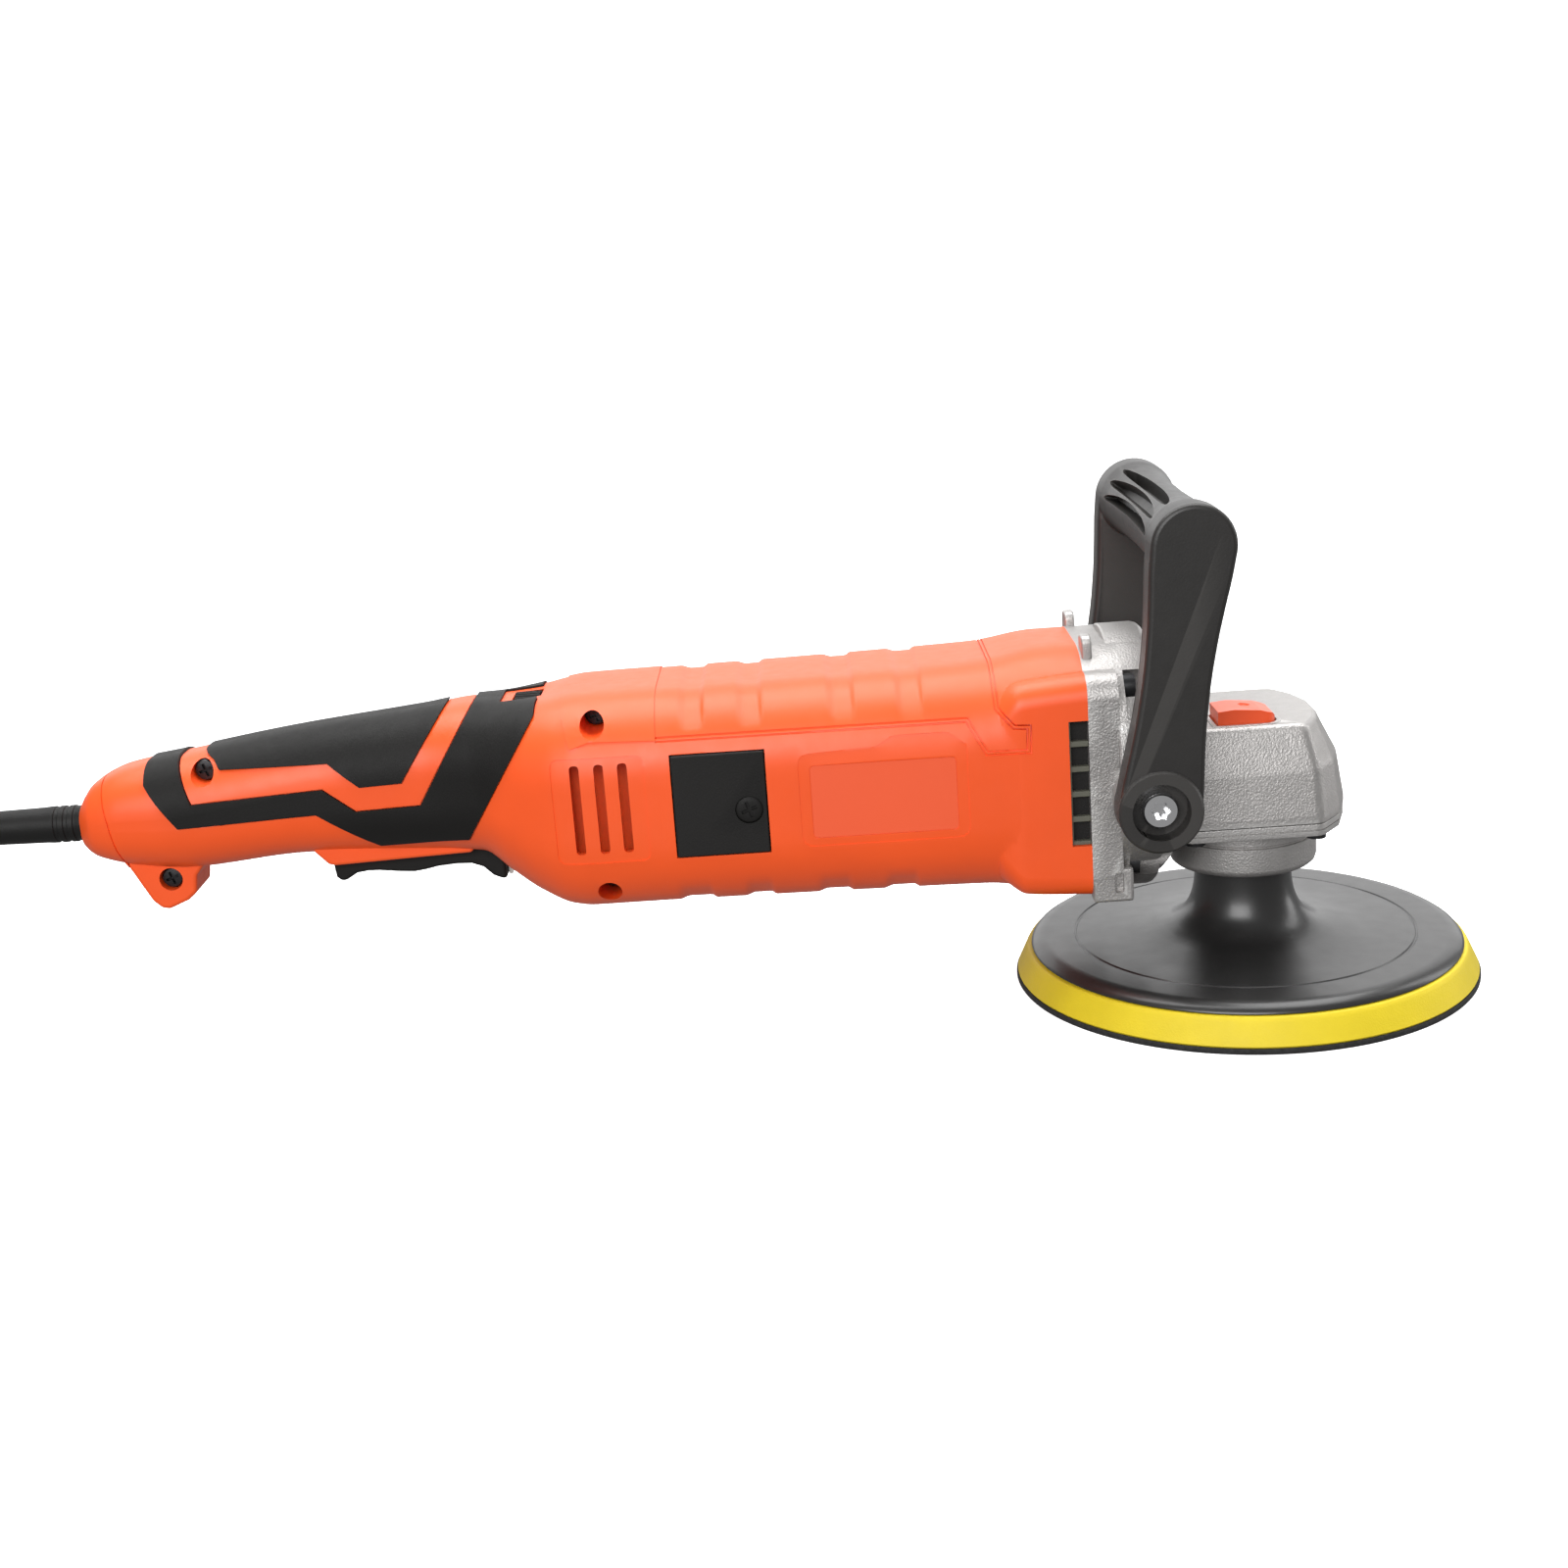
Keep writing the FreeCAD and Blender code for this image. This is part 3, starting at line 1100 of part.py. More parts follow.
def build_front_handle():
    pivot_x = size("arm_pivot_forward")
    pivot_z = size("arm_pivot_height")
    radius = size("arm_radius")
    inner = size("arm_inner")
    outer = size("arm_outer")
    length = size("arm_length")
    bolt_radius = size("bolt_radius")
    lean = math.radians(float(size("grip_lean")))
    top_x = float(pivot_x) + float(length) * math.sin(lean)
    top_z = float(pivot_z) + float(length) * math.cos(lean)
    solids = []
    for sign in (-1, 1):
        near = inner if sign > 0 else -outer
        arm = doc.addObject("Part::Box", "Arm")
        bind(arm, "Length", radius * 2)
        bind(arm, "Width", outer - inner)
        bind(arm, "Height", length)
        # the box's foot stands across the pivot and leans forward
        corner = Rotation(Vector(0, 1, 0), math.degrees(lean)).multVec(Vector(-float(radius), 0, 0))
        foot = Vector(float(pivot_x) + corner.x, float(near), float(pivot_z) + corner.z)
        arm.Placement = Placement(foot, Rotation(Vector(0, 1, 0), math.degrees(lean)))
        solids.append(arm)
        solids.append(cylinder(radius, outer - inner, (pivot_x, near, pivot_z), "Y"))
        solids.append(cylinder(radius, outer - inner, (top_x, near, top_z), "Y"))
    waist = [(0, -inner - 3), (radius, -inner - 3), (radius, -inner + 4), (radius - 1.4, -25),
             (radius - 2, 0), (radius - 1.4, 25), (radius, inner - 4), (radius, inner + 3), (0, inner + 3)]
    solids.append(turned(waist, (top_x, 0, top_z), "Y"))
    tools = []
    for sign in (-1, 1):
        start = -70 if sign < 0 else 40
        tools.append(cylinder(bolt_radius + 0.06, 30, (pivot_x, start, pivot_z), "Y"))
        recess_start = -outer - 1 if sign < 0 else outer - 6.5
        tools.append(cylinder(8.7, 7.5, (pivot_x, recess_start, pivot_z), "Y"))
    keep("d_handle", cut(fused(*solids), *tools))

    bolts = []
    washers = []
    for sign in (-1, 1):
        axis = "Y" if sign > 0 else "-Y"
        seat = outer - 6.5
        seat_side = seat * sign
        head = cylinder(5.5, 4.5, (pivot_x, seat_side + sign * 0.05, pivot_z), axis)
        shank_start = 33.0
        shank = cylinder(bolt_radius, seat - shank_start + 0.5, (pivot_x, shank_start * sign, pivot_z), axis)
        socket = cylinder(2.8, 3, (pivot_x, seat_side + sign * 2, pivot_z), axis)
        bolts.append(cut(fused(head, shank), socket))
        washers.append(ring(bolt_radius + 0.3, 9, 0.9, (pivot_x, (inner - 0.95) * sign, pivot_z), axis))
    keep("handle_bolts", grouped(*bolts))
    keep("handle_washers", grouped(*washers))


# ---------------------------------------------------------------- cord, coil and plug

CORD_ROUTE = [(-436.0, 0.0, 76.2), (-464.0, 0.5, 74.5), (-490.0, 3.0, 60.5), (-508.5, 6.5, 38.0),
              (-529.0, 9.5, 16.0), (-556.0, 11.5, 4.6), (-584.0, 12.0, 4.2)]
TAIL_ROUTE = [(-640.0, 68.0, 12.4), (-641.5, 86.0, 11.0), (-638.0, 104.0, 9.6)]


def tube(route, radius):
    """A tube along straight runs joined by tangent arcs, each as large as its two runs allow."""
    points = [Vector(*point) for point in route]
    edges = []
    start = points[0]
    radii = []
    for before, corner, after in zip(points, points[1:], points[2:]):
        back = before - corner
        onward = after - corner
        half_turn = (math.pi - back.getAngle(onward)) / 2
        setback = 0.45 * min(back.Length, onward.Length)
        arc_radius = setback / math.tan(half_turn)
        radii.append(round(arc_radius, 1))
        back.normalize()
        onward.normalize()
        first = corner + back * setback
        last = corner + onward * setback
        inward = back + onward
        inward.normalize()
        centre = corner + inward * (arc_radius / math.cos(half_turn))
        middle = centre - inward * arc_radius
        edges.append(Part.LineSegment(start, first).toShape())
        edges.append(Part.Arc(first, middle, last).toShape())
        start = last
    edges.append(Part.LineSegment(start, points[-1]).toShape())
    path = Part.Wire(edges)
    along = points[1] - points[0]
    section = Part.Wire(Part.makeCircle(radius, points[0], along))
    solid = path.makePipeShell([section], True, False)
    expected = math.pi * radius ** 2 * path.Length
    print("cord radii", radii, "length", round(path.Length, 1),
          "volume share", round(solid.Volume / expected, 4))
    return solid


def build_cord():
    radius = float(cord_radius)
    guard_back = size("guard_back")
    guard_front = -362.0
    mouth = -377.0
    guard_bore = cord_radius + 0.1
    keep("cord_guard", turned([
        (guard_bore, guard_back), (5.1, guard_back), (6.1, mouth), (6.4, mouth + 7), (9.0, mouth + 7),
        (9.0, mouth + 12), (6.4, mouth + 12), (6.4, guard_front), (guard_bore, guard_front)],
        (0, 0, motor_height), "X"))
    lead_front = -336.0
    keep("lead_in_cord", cylinder(cord_radius, lead_front - guard_back, (guard_back, 0, motor_height), "X"))
    clamp_low, clamp_high = CLAMP_SPAN
    clamp_middle = (clamp_low + clamp_high) / 2
    clamp = cut(box((clamp_low, -10, motor_height + 0.5), (clamp_high, 10, 85.0)),
                cylinder(cord_radius, 20, (clamp_low - 4, 0, motor_height), "X"),
                cylinder(1.35, 20, (clamp_middle, -7.2, 70)),
                cylinder(1.35, 20, (clamp_middle, 7.2, 70)))
    keep("cord_clamp", clamp)

    feature("power_cord", Part.makeCompound([tube(CORD_ROUTE, radius), tube(TAIL_ROUTE, radius)]))
    mean = size("coil_mean_radius")
    rows = 4
    spread = cord_radius * rows
    keep("cord_coil", ring(mean - spread, mean + spread, cord_radius * 4 + 0.4,
                           (size("coil_forward"), size("coil_side"), 0.1)))

    plug_forward = TAIL_ROUTE[-1][0]
    plug_back = TAIL_ROUTE[-1][1]
    plug = Part.makeLoft([
        Part.makePolygon([Vector(plug_forward + side * width, plug_back + along, 9.6 + up * height)
                          for side, up in ((-1, -1), (1, -1), (1, 1), (-1, 1), (-1, -1))])
        for along, width, height in ((0, 6, 6), (14, 9, 8.5), (18, 13, 9), (36, 13, 9))], True, True)
    feature("plug_body", plug)
    blades = []
    for sign in (-1, 1):
        middle = plug_forward + sign * 6.35
        blades.append(solid_box((middle - 0.75, plug_back + 36, 9.6 - 3.2),
                                (middle + 0.75, plug_back + 53, 9.6 + 3.2)))
    feature("plug_blades", Part.makeCompound(blades))


build_pad()
build_spindle()
build_gears()
build_armature()
build_bearings()
build_gear_case()
build_bearing_box()
build_motor_housing()
build_stator()
build_brushes()
build_handle_shells()
build_shell_screws()
build_controls()
build_lock()
build_front_handle()
build_cord()
doc.recompute()

# ---------------------------------------------------------------- check everything, then write

for obj in doc.Objects:
    if "Invalid" in obj.State or "Error" in obj.State:
        raise RuntimeError(f"{obj.Label} ({obj.Name}) did not recompute: {obj.State}")
for node, obj in pieces.items():
    if obj.Shape.isNull() or not obj.Shape.isValid() or not obj.Shape.Solids:
        raise RuntimeError(f"{node} has no valid solid")
os.makedirs("parts", exist_ok=True)
for node, obj in pieces.items():
    obj.Shape.exportStep(os.path.join("parts", node + ".step"))
    print(node, len(obj.Shape.Solids), "solids", round(obj.Shape.Volume / 1000, 2), "cm3")
print(len(pieces), "sub-parts")
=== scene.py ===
import math

import bmesh
import bpy
from mathutils import Matrix, Vector


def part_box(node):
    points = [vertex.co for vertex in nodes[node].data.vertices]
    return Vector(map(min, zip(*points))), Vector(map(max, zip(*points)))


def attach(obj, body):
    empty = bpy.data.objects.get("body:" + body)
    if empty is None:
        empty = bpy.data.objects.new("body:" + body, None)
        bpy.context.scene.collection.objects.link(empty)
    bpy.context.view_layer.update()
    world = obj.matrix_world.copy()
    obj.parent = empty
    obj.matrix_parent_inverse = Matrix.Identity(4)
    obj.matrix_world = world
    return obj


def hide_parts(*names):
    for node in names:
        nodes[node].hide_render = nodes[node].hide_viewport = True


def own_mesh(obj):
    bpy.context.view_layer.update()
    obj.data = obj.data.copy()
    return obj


# A corded rotary polisher on its pad, seen from its right-hand side.
# Lengths are in millimetres until a mesh is made.
# +X runs to the nose, +Z up the spindle, and -Y is the near side.

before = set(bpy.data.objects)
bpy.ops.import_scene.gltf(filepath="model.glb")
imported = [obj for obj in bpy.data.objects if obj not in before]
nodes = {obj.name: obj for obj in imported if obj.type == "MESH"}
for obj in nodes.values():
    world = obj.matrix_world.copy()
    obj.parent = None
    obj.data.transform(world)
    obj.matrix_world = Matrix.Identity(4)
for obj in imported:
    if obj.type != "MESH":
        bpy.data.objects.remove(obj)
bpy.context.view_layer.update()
MM = 0.001


def node_box(name):
    """A CAD node's lowest and highest corners, in millimetres."""
    low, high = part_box(name)
    return low / MM, high / MM


# ---------------------------------------------------------------- sizes taken from the frame

MOTOR_Z = sum(corner.z for corner in node_box("armature_shaft")) / 2
SEAM_BACK = node_box("handle_shell_right")[1].x
SEAM_FRONT = node_box("gear_case")[0].x
PAD_RADIUS = node_box("loop_sheet")[1].x
FOAM_BOTTOM, FOAM_TOP = node_box("foam_pad")[0].z, node_box("foam_pad")[1].z
PLATE_TOP = node_box("backing_plate")[1].z
BOX_BOTTOM = node_box("bearing_box")[0].z
CASE_BOTTOM = node_box("bearing_box")[1].z
ARM_OUTER = node_box("d_handle")[1].y
GUARD_BACK = node_box("cord_guard")[0].x
ARM_PIVOT = (-35.6, 72.5)
ARM_LENGTH = 79.5
ARM_LEAN = math.radians(8.2)
ARM_INNER = 45.5


# ---------------------------------------------------------------- small mesh tools

def made(name, points, faces, smooth_angle=35):
    """A mesh object from points in millimetres."""
    mesh = bpy.data.meshes.new(name)
    mesh.from_pydata([tuple(Vector(point) * MM) for point in points], [], faces)
    mesh.update()
    obj = bpy.data.objects.new(name, mesh)
    bpy.context.scene.collection.objects.link(obj)
    outward(obj)
    shade(obj, smooth_angle)
    return obj


def outward(obj):
    """Turn every face to look outward."""
    work = bmesh.new()
    work.from_mesh(obj.data)
    bmesh.ops.recalc_face_normals(work, faces=work.faces)
    work.to_mesh(obj.data)
    work.free()


def shade(obj, angle):
    """Smooth shading, with edges over the angle kept sharp."""
    limit = math.radians(angle)
    work = bmesh.new()
    work.from_mesh(obj.data)
    for face in work.faces:
        face.smooth = True
    for edge in work.edges:
        edge.smooth = len(edge.link_faces) != 2 or edge.calc_face_angle() < limit
    work.to_mesh(obj.data)
    work.free()


def apply_modifiers(obj):
    graph = bpy.context.evaluated_depsgraph_get()
    mesh = bpy.data.meshes.new_from_object(obj.evaluated_get(graph))
    old = obj.data
    obj.modifiers.clear()
    obj.data = mesh
    bpy.data.meshes.remove(old)
    return obj


def joined(name, objects):
    """One object from several."""
    work = bmesh.new()
    for obj in objects:
        work.from_mesh(obj.data)
        bpy.data.objects.remove(obj)
    mesh = bpy.data.meshes.new(name)
    work.to_mesh(mesh)
    work.free()
    result = bpy.data.objects.new(name, mesh)
    bpy.context.scene.collection.objects.link(result)
    return result


def boolean(obj, operation, others):
    """Join, cut or intersect with other objects, which are used up."""
    tool = joined("tool", others)
    modifier = obj.modifiers.new("Boolean", "BOOLEAN")
    modifier.operation = operation
    modifier.solver = "EXACT"
    modifier.use_self = len(others) > 1
    modifier.object = tool
    apply_modifiers(obj)
    bpy.data.objects.remove(tool)
    return obj


def cut(obj, others):
    return boolean(obj, "DIFFERENCE", others)


def fuse(obj, others):
    return boolean(obj, "UNION", others)


def common(obj, others):
    return boolean(obj, "INTERSECT", others)


def weld(obj, distance):
    """Merge points closer than a distance in millimetres and drop what that leaves empty."""
    work = bmesh.new()
    work.from_mesh(obj.data)
    bmesh.ops.remove_doubles(work, verts=work.verts, dist=distance * MM)
    bmesh.ops.dissolve_degenerate(work, edges=work.edges, dist=distance * MM * 0.2)
    work.to_mesh(obj.data)
    work.free()
    return obj


def bevelled(obj, width, angle=40, segments=2, tidy=0.12):
    """Round the edges sharper than an angle."""
    weld(obj, tidy)
    modifier = obj.modifiers.new("Bevel", "BEVEL")
    modifier.width = width * MM
    modifier.segments = segments
    modifier.limit_method = "ANGLE"
    modifier.angle_limit = math.radians(angle)
    modifier.use_clamp_overlap = True
    apply_modifiers(obj)
    shade(obj, 50)
    weighted = obj.modifiers.new("Weighted", "WEIGHTED_NORMAL")
    weighted.keep_sharp = True
    apply_modifiers(obj)
    return obj


def arc_points(centre, radius, start, end, steps):
    """Points of an arc in a plane, angles in degrees."""
    return [(centre[0] + radius * math.cos(math.radians(start + (end - start) * step / steps)),
             centre[1] + radius * math.sin(math.radians(start + (end - start) * step / steps)))
            for step in range(steps + 1)]


def filleted(corners, radius, steps=5):
    """A closed outline with every corner rounded as far as its sides allow."""
    result = []
    count = len(corners)
    for index, corner in enumerate(corners):
        here = Vector(corner)
        before = Vector(corners[index - 1]) - here
        after = Vector(corners[(index + 1) % count]) - here
        half = before.angle(after) / 2
        setback = min(radius / math.tan(half), 0.45 * before.length, 0.45 * after.length)
        first = here + before.normalized() * setback
        last = here + after.normalized() * setback
        for step in range(steps + 1):
            share = step / steps
            bend = here * 2 * share * (1 - share)
            result.append(tuple(first * (1 - share) ** 2 + bend + last * share ** 2))
    return result


def prism(name, outline, low, high, plane="XZ"):
    """An outline made solid between two distances; plane names its two axes."""
    third = ({"X", "Y", "Z"} - set(plane)).pop()
    order = plane + third

    def spot(point, distance):
        values = dict(zip(order, (point[0], point[1], distance)))
        return (values["X"], values["Y"], values["Z"])
    count = len(outline)
    points = [spot(point, low) for point in outline] + [spot(point, high) for point in outline]
    faces = [tuple(range(count)), tuple(range(count, 2 * count))]
    faces += [(index, (index + 1) % count, (index + 1) % count + count, index + count)
              for index in range(count)]
    return made(name, points, faces)


def block(name, low, high):
    return prism(name, [(low[0], low[2]), (high[0], low[2]), (high[0], high[2]), (low[0], high[2])],
                 low[1], high[1])


def lathe(name, profile, segments=128, axis="Z", centre=(0, 0, 0), smooth_angle=35):
    """A profile of (radius, distance along the axis) points turned about an axis through a centre."""
    rings = []
    points = []
    for radius, along in profile:
        if radius < 1e-6:
            rings.append([len(points)])
            points.append((0, 0, along))
            continue
        rings.append(list(range(len(points), len(points) + segments)))
        for index in range(segments):
            turn = 2 * math.pi * index / segments
            points.append((radius * math.cos(turn), radius * math.sin(turn), along))
    faces = []
    for lower, upper in zip(rings, rings[1:]):
        for index in range(segments):
            following = (index + 1) % segments
            if len(lower) == 1 and len(upper) > 1:
                faces.append((lower[0], upper[index], upper[following]))
            elif len(upper) == 1 and len(lower) > 1:
                faces.append((lower[index], lower[following], upper[0]))
            elif len(lower) > 1 and len(upper) > 1:
                faces.append((lower[index], lower[following], upper[following], upper[index]))
    for ring, radius in ((rings[0], profile[0][0]), (rings[-1], profile[-1][0])):
        if len(ring) > 1 and profile[0] != profile[-1]:
            faces.append(tuple(ring))
    quarter = math.radians(90)
    spun = {"Z": Matrix.Identity(3),
            "X": Matrix.Rotation(quarter, 3, "Y"),
            "Y": Matrix.Rotation(-quarter, 3, "X"),
            "-Y": Matrix.Rotation(quarter, 3, "X")}[axis]
    points = [spun @ Vector(point) + Vector(centre) for point in points]
    if profile[0] == profile[-1]:
        obj = made(name, points, faces, smooth_angle)
        weld(obj, 0.001)
        outward(obj)
        shade(obj, smooth_angle)
        return obj
    return made(name, points, faces, smooth_angle)


def rod(name, radius, start, end, segments=48, chamfer=0.0):
    """A cylinder between two points, its rims chamfered."""
    along = Vector(end) - Vector(start)
    length = along.length
    profile = [(0, 0), (radius - chamfer, 0)]
    if chamfer:
        profile += [(radius, chamfer), (radius, length - chamfer)]
    else:
        profile += [(radius, length)]
    profile += [(radius - chamfer, length), (0, length)] if chamfer else [(0, length)]
    obj = lathe(name, profile, segments)
    turn = along.to_track_quat("Z", "Y").to_matrix().to_4x4()
    obj.data.transform(Matrix.Translation(Vector(start) * MM) @ turn)
    return obj


def curve_value(table, at):
    """A smooth curve through (place, value) points: monotone between them, flat beyond the ends."""
    if at <= table[0][0]:
        return table[0][1]
    if at >= table[-1][0]:
        return table[-1][1]
    slopes = [(after[1] - before[1]) / (after[0] - before[0]) for before, after in zip(table, table[1:])]
    for index, (before, after) in enumerate(zip(table, table[1:])):
        if before[0] <= at <= after[0]:
            span = after[0] - before[0]
            share = (at - before[0]) / span
            start = 0.0
            if index > 0 and slopes[index - 1] * slopes[index] > 0:
                start = 2 / (1 / slopes[index - 1] + 1 / slopes[index])
            end = 0.0
            if index + 1 < len(slopes) and slopes[index] * slopes[index + 1] > 0:
                end = 2 / (1 / slopes[index] + 1 / slopes[index + 1])
            if index == 0:
                start = slopes[0]
            if index + 1 == len(slopes):
                end = slopes[-1]
            square = share * share
            cube = square * share
            return (before[1] * (2 * cube - 3 * square + 1) + start * span * (cube - 2 * square + share)
                    + after[1] * (3 * square - 2 * cube) + end * span * (cube - square))
    return table[-1][1]


def section_ring(half_width, bottom, top, corner, arc_steps=10, side_steps=6):
    """A rounded rectangle across the motor axis as (side, height) points, the same count for any size."""
    middle = (bottom + top) / 2
    corner = min(corner, half_width - 0.01, (top - bottom) / 2 - 0.01)
    wide = half_width - corner
    tall = (top - bottom) / 2 - corner
    points = []
    corners = ((wide, tall, 0), (-wide, tall, 90), (-wide, -tall, 180), (wide, -tall, 270))
    for index, (side, up, start) in enumerate(corners):
        arc = arc_points((side, middle + up), corner, start, start + 90, arc_steps)
        points += arc
        next_side, next_up, next_start = corners[(index + 1) % 4]
        first = arc_points((next_side, middle + next_up), corner, next_start, next_start + 90, 1)[0]
        last = arc[-1]
        for step in range(1, side_steps):
            share = step / side_steps
            points.append((last[0] + (first[0] - last[0]) * share, last[1] + (first[1] - last[1]) * share))
    return points


def tube_of(name, sections, start, end, step=1.5, offset=0.0, bump=None):
    """A closed body through rounded cross sections, each value following a smooth curve along the motor."""
    tables = [[(section[0], section[index]) for section in sections] for index in range(1, 5)]
    count = max(2, int(round((end - start) / step)))
    points = []
    width = 0
    for index in range(count + 1):
        forward = start + (end - start) * index / count
        half_width, bottom, top, corner = (curve_value(table, forward) for table in tables)
        ring = section_ring(half_width + offset, bottom - offset, top + offset, corner + offset)
        width = len(ring)
        for side, height in ring:
            if bump:
                side, height = bump(forward, side, height)
            points.append((forward, side, height))
    faces = [tuple(range(width)), tuple(range(count * width, (count + 1) * width))]
    for index in range(count):
        for place in range(width):
            following = (place + 1) % width
            faces.append((index * width + place, index * width + following,
                          (index + 1) * width + following, (index + 1) * width + place))
    return made(name, points, faces, 40)


def ribbon(path, half_width):
    """The outline of a narrow strip along a path."""
    points = [Vector(point) for point in path]
    left = []
    right = []
    for index, point in enumerate(points):
        before = points[max(index - 1, 0)]
        after = points[min(index + 1, len(points) - 1)]
        first = (point - before).normalized() if point != before else (after - point).normalized()
        second = (after - point).normalized() if point != after else first
        across = (first + second).normalized().orthogonal()
        stretch = half_width / max(0.4, across.dot(second.orthogonal()))
        left.append(tuple(point + across * stretch))
        right.append(tuple(point - across * stretch))
    return left + right[::-1]


def cut_each(obj, tools):
    """Cut the tools one at a time, which keeps each boolean simple."""
    for tool in tools:
        cut(obj, [tool])


BROAD_FACE = 20 * MM * MM
BROAD_SIDES = 6


def even_normals(obj, angle=38):
    """Broad many-sided faces are shaded flat, and large faces lead the shading of shared points."""
    shade(obj, angle)
    for face in obj.data.polygons:
        if len(face.vertices) > BROAD_SIDES and face.area > BROAD_FACE:
            face.use_smooth = False
    weighted = obj.modifiers.new("Weighted", "WEIGHTED_NORMAL")
    weighted.keep_sharp = True
    weighted.weight = 90
    apply_modifiers(obj)


def as_body(obj, body, *replaced, slot=None):
    """Put a finished piece on its body in place of its CAD nodes."""
    if obj.type == "MESH":
        even_normals(obj)
    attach(obj, body)
    if replaced:
        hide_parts(*replaced)
    return obj


# ---------------------------------------------------------------- materials

def material(name, colour, roughness, metallic=0.0, variation=0.05, blotch=40.0, grain=1400.0,
             grain_depth=0.12, roughness_spread=0.06, coat=0.0, wear=0.0, wear_colour=(1, 1, 1),
             specular=0.5):
    """A procedural surface: blotchy colour, uneven gloss and a fine moulded or cast grain."""
    mat = bpy.data.materials.new(name)
    mat.use_nodes = True
    tree = mat.node_tree
    shader = tree.nodes["Principled BSDF"]
    shader.inputs["Metallic"].default_value = metallic
    shader.inputs["Coat Weight"].default_value = coat
    shader.inputs["Specular IOR Level"].default_value = specular
    shader.inputs["Coat Roughness"].default_value = 0.15
    place = tree.nodes.new("ShaderNodeTexCoord")

    def noise(scale, detail):
        node = tree.nodes.new("ShaderNodeTexNoise")
        node.inputs["Scale"].default_value = scale
        node.inputs["Detail"].default_value = detail
        tree.links.new(place.outputs["Object"], node.inputs["Vector"])
        return node
    broad = noise(blotch, 3)
    ramp = tree.nodes.new("ShaderNodeValToRGB")
    ramp.color_ramp.elements[0].position = 0.3
    ramp.color_ramp.elements[1].position = 0.7
    ramp.color_ramp.elements[0].color = (*[channel * (1 - variation) for channel in colour], 1)
    ramp.color_ramp.elements[1].color = (*[min(1, channel * (1 + variation)) for channel in colour], 1)
    tree.links.new(broad.outputs["Fac"], ramp.inputs["Fac"])
    colour_out = ramp.outputs["Color"]
    if wear:
        geometry = tree.nodes.new("ShaderNodeNewGeometry")
        edge = tree.nodes.new("ShaderNodeMapRange")
        edge.inputs["From Min"].default_value = 0.52
        edge.inputs["From Max"].default_value = 0.62
        edge.inputs["To Max"].default_value = wear
        tree.links.new(geometry.outputs["Pointiness"], edge.inputs["Value"])
        mix = tree.nodes.new("ShaderNodeMix")
        mix.data_type = "RGBA"
        mix.inputs["B"].default_value = (*wear_colour, 1)
        tree.links.new(edge.outputs["Result"], mix.inputs["Factor"])
        tree.links.new(colour_out, mix.inputs["A"])
        colour_out = mix.outputs["Result"]
    tree.links.new(colour_out, shader.inputs["Base Color"])
    gloss = tree.nodes.new("ShaderNodeMapRange")
    gloss.inputs["To Min"].default_value = roughness - roughness_spread
    gloss.inputs["To Max"].default_value = roughness + roughness_spread
    tree.links.new(noise(blotch * 6, 2).outputs["Fac"], gloss.inputs["Value"])
    tree.links.new(gloss.outputs["Result"], shader.inputs["Roughness"])
    bump = tree.nodes.new("ShaderNodeBump")
    bump.inputs["Strength"].default_value = grain_depth
    bump.inputs["Distance"].default_value = 0.0002
    tree.links.new(noise(grain, 2).outputs["Fac"], bump.inputs["Height"])
    tree.links.new(bump.outputs["Normal"], shader.inputs["Normal"])
    return mat


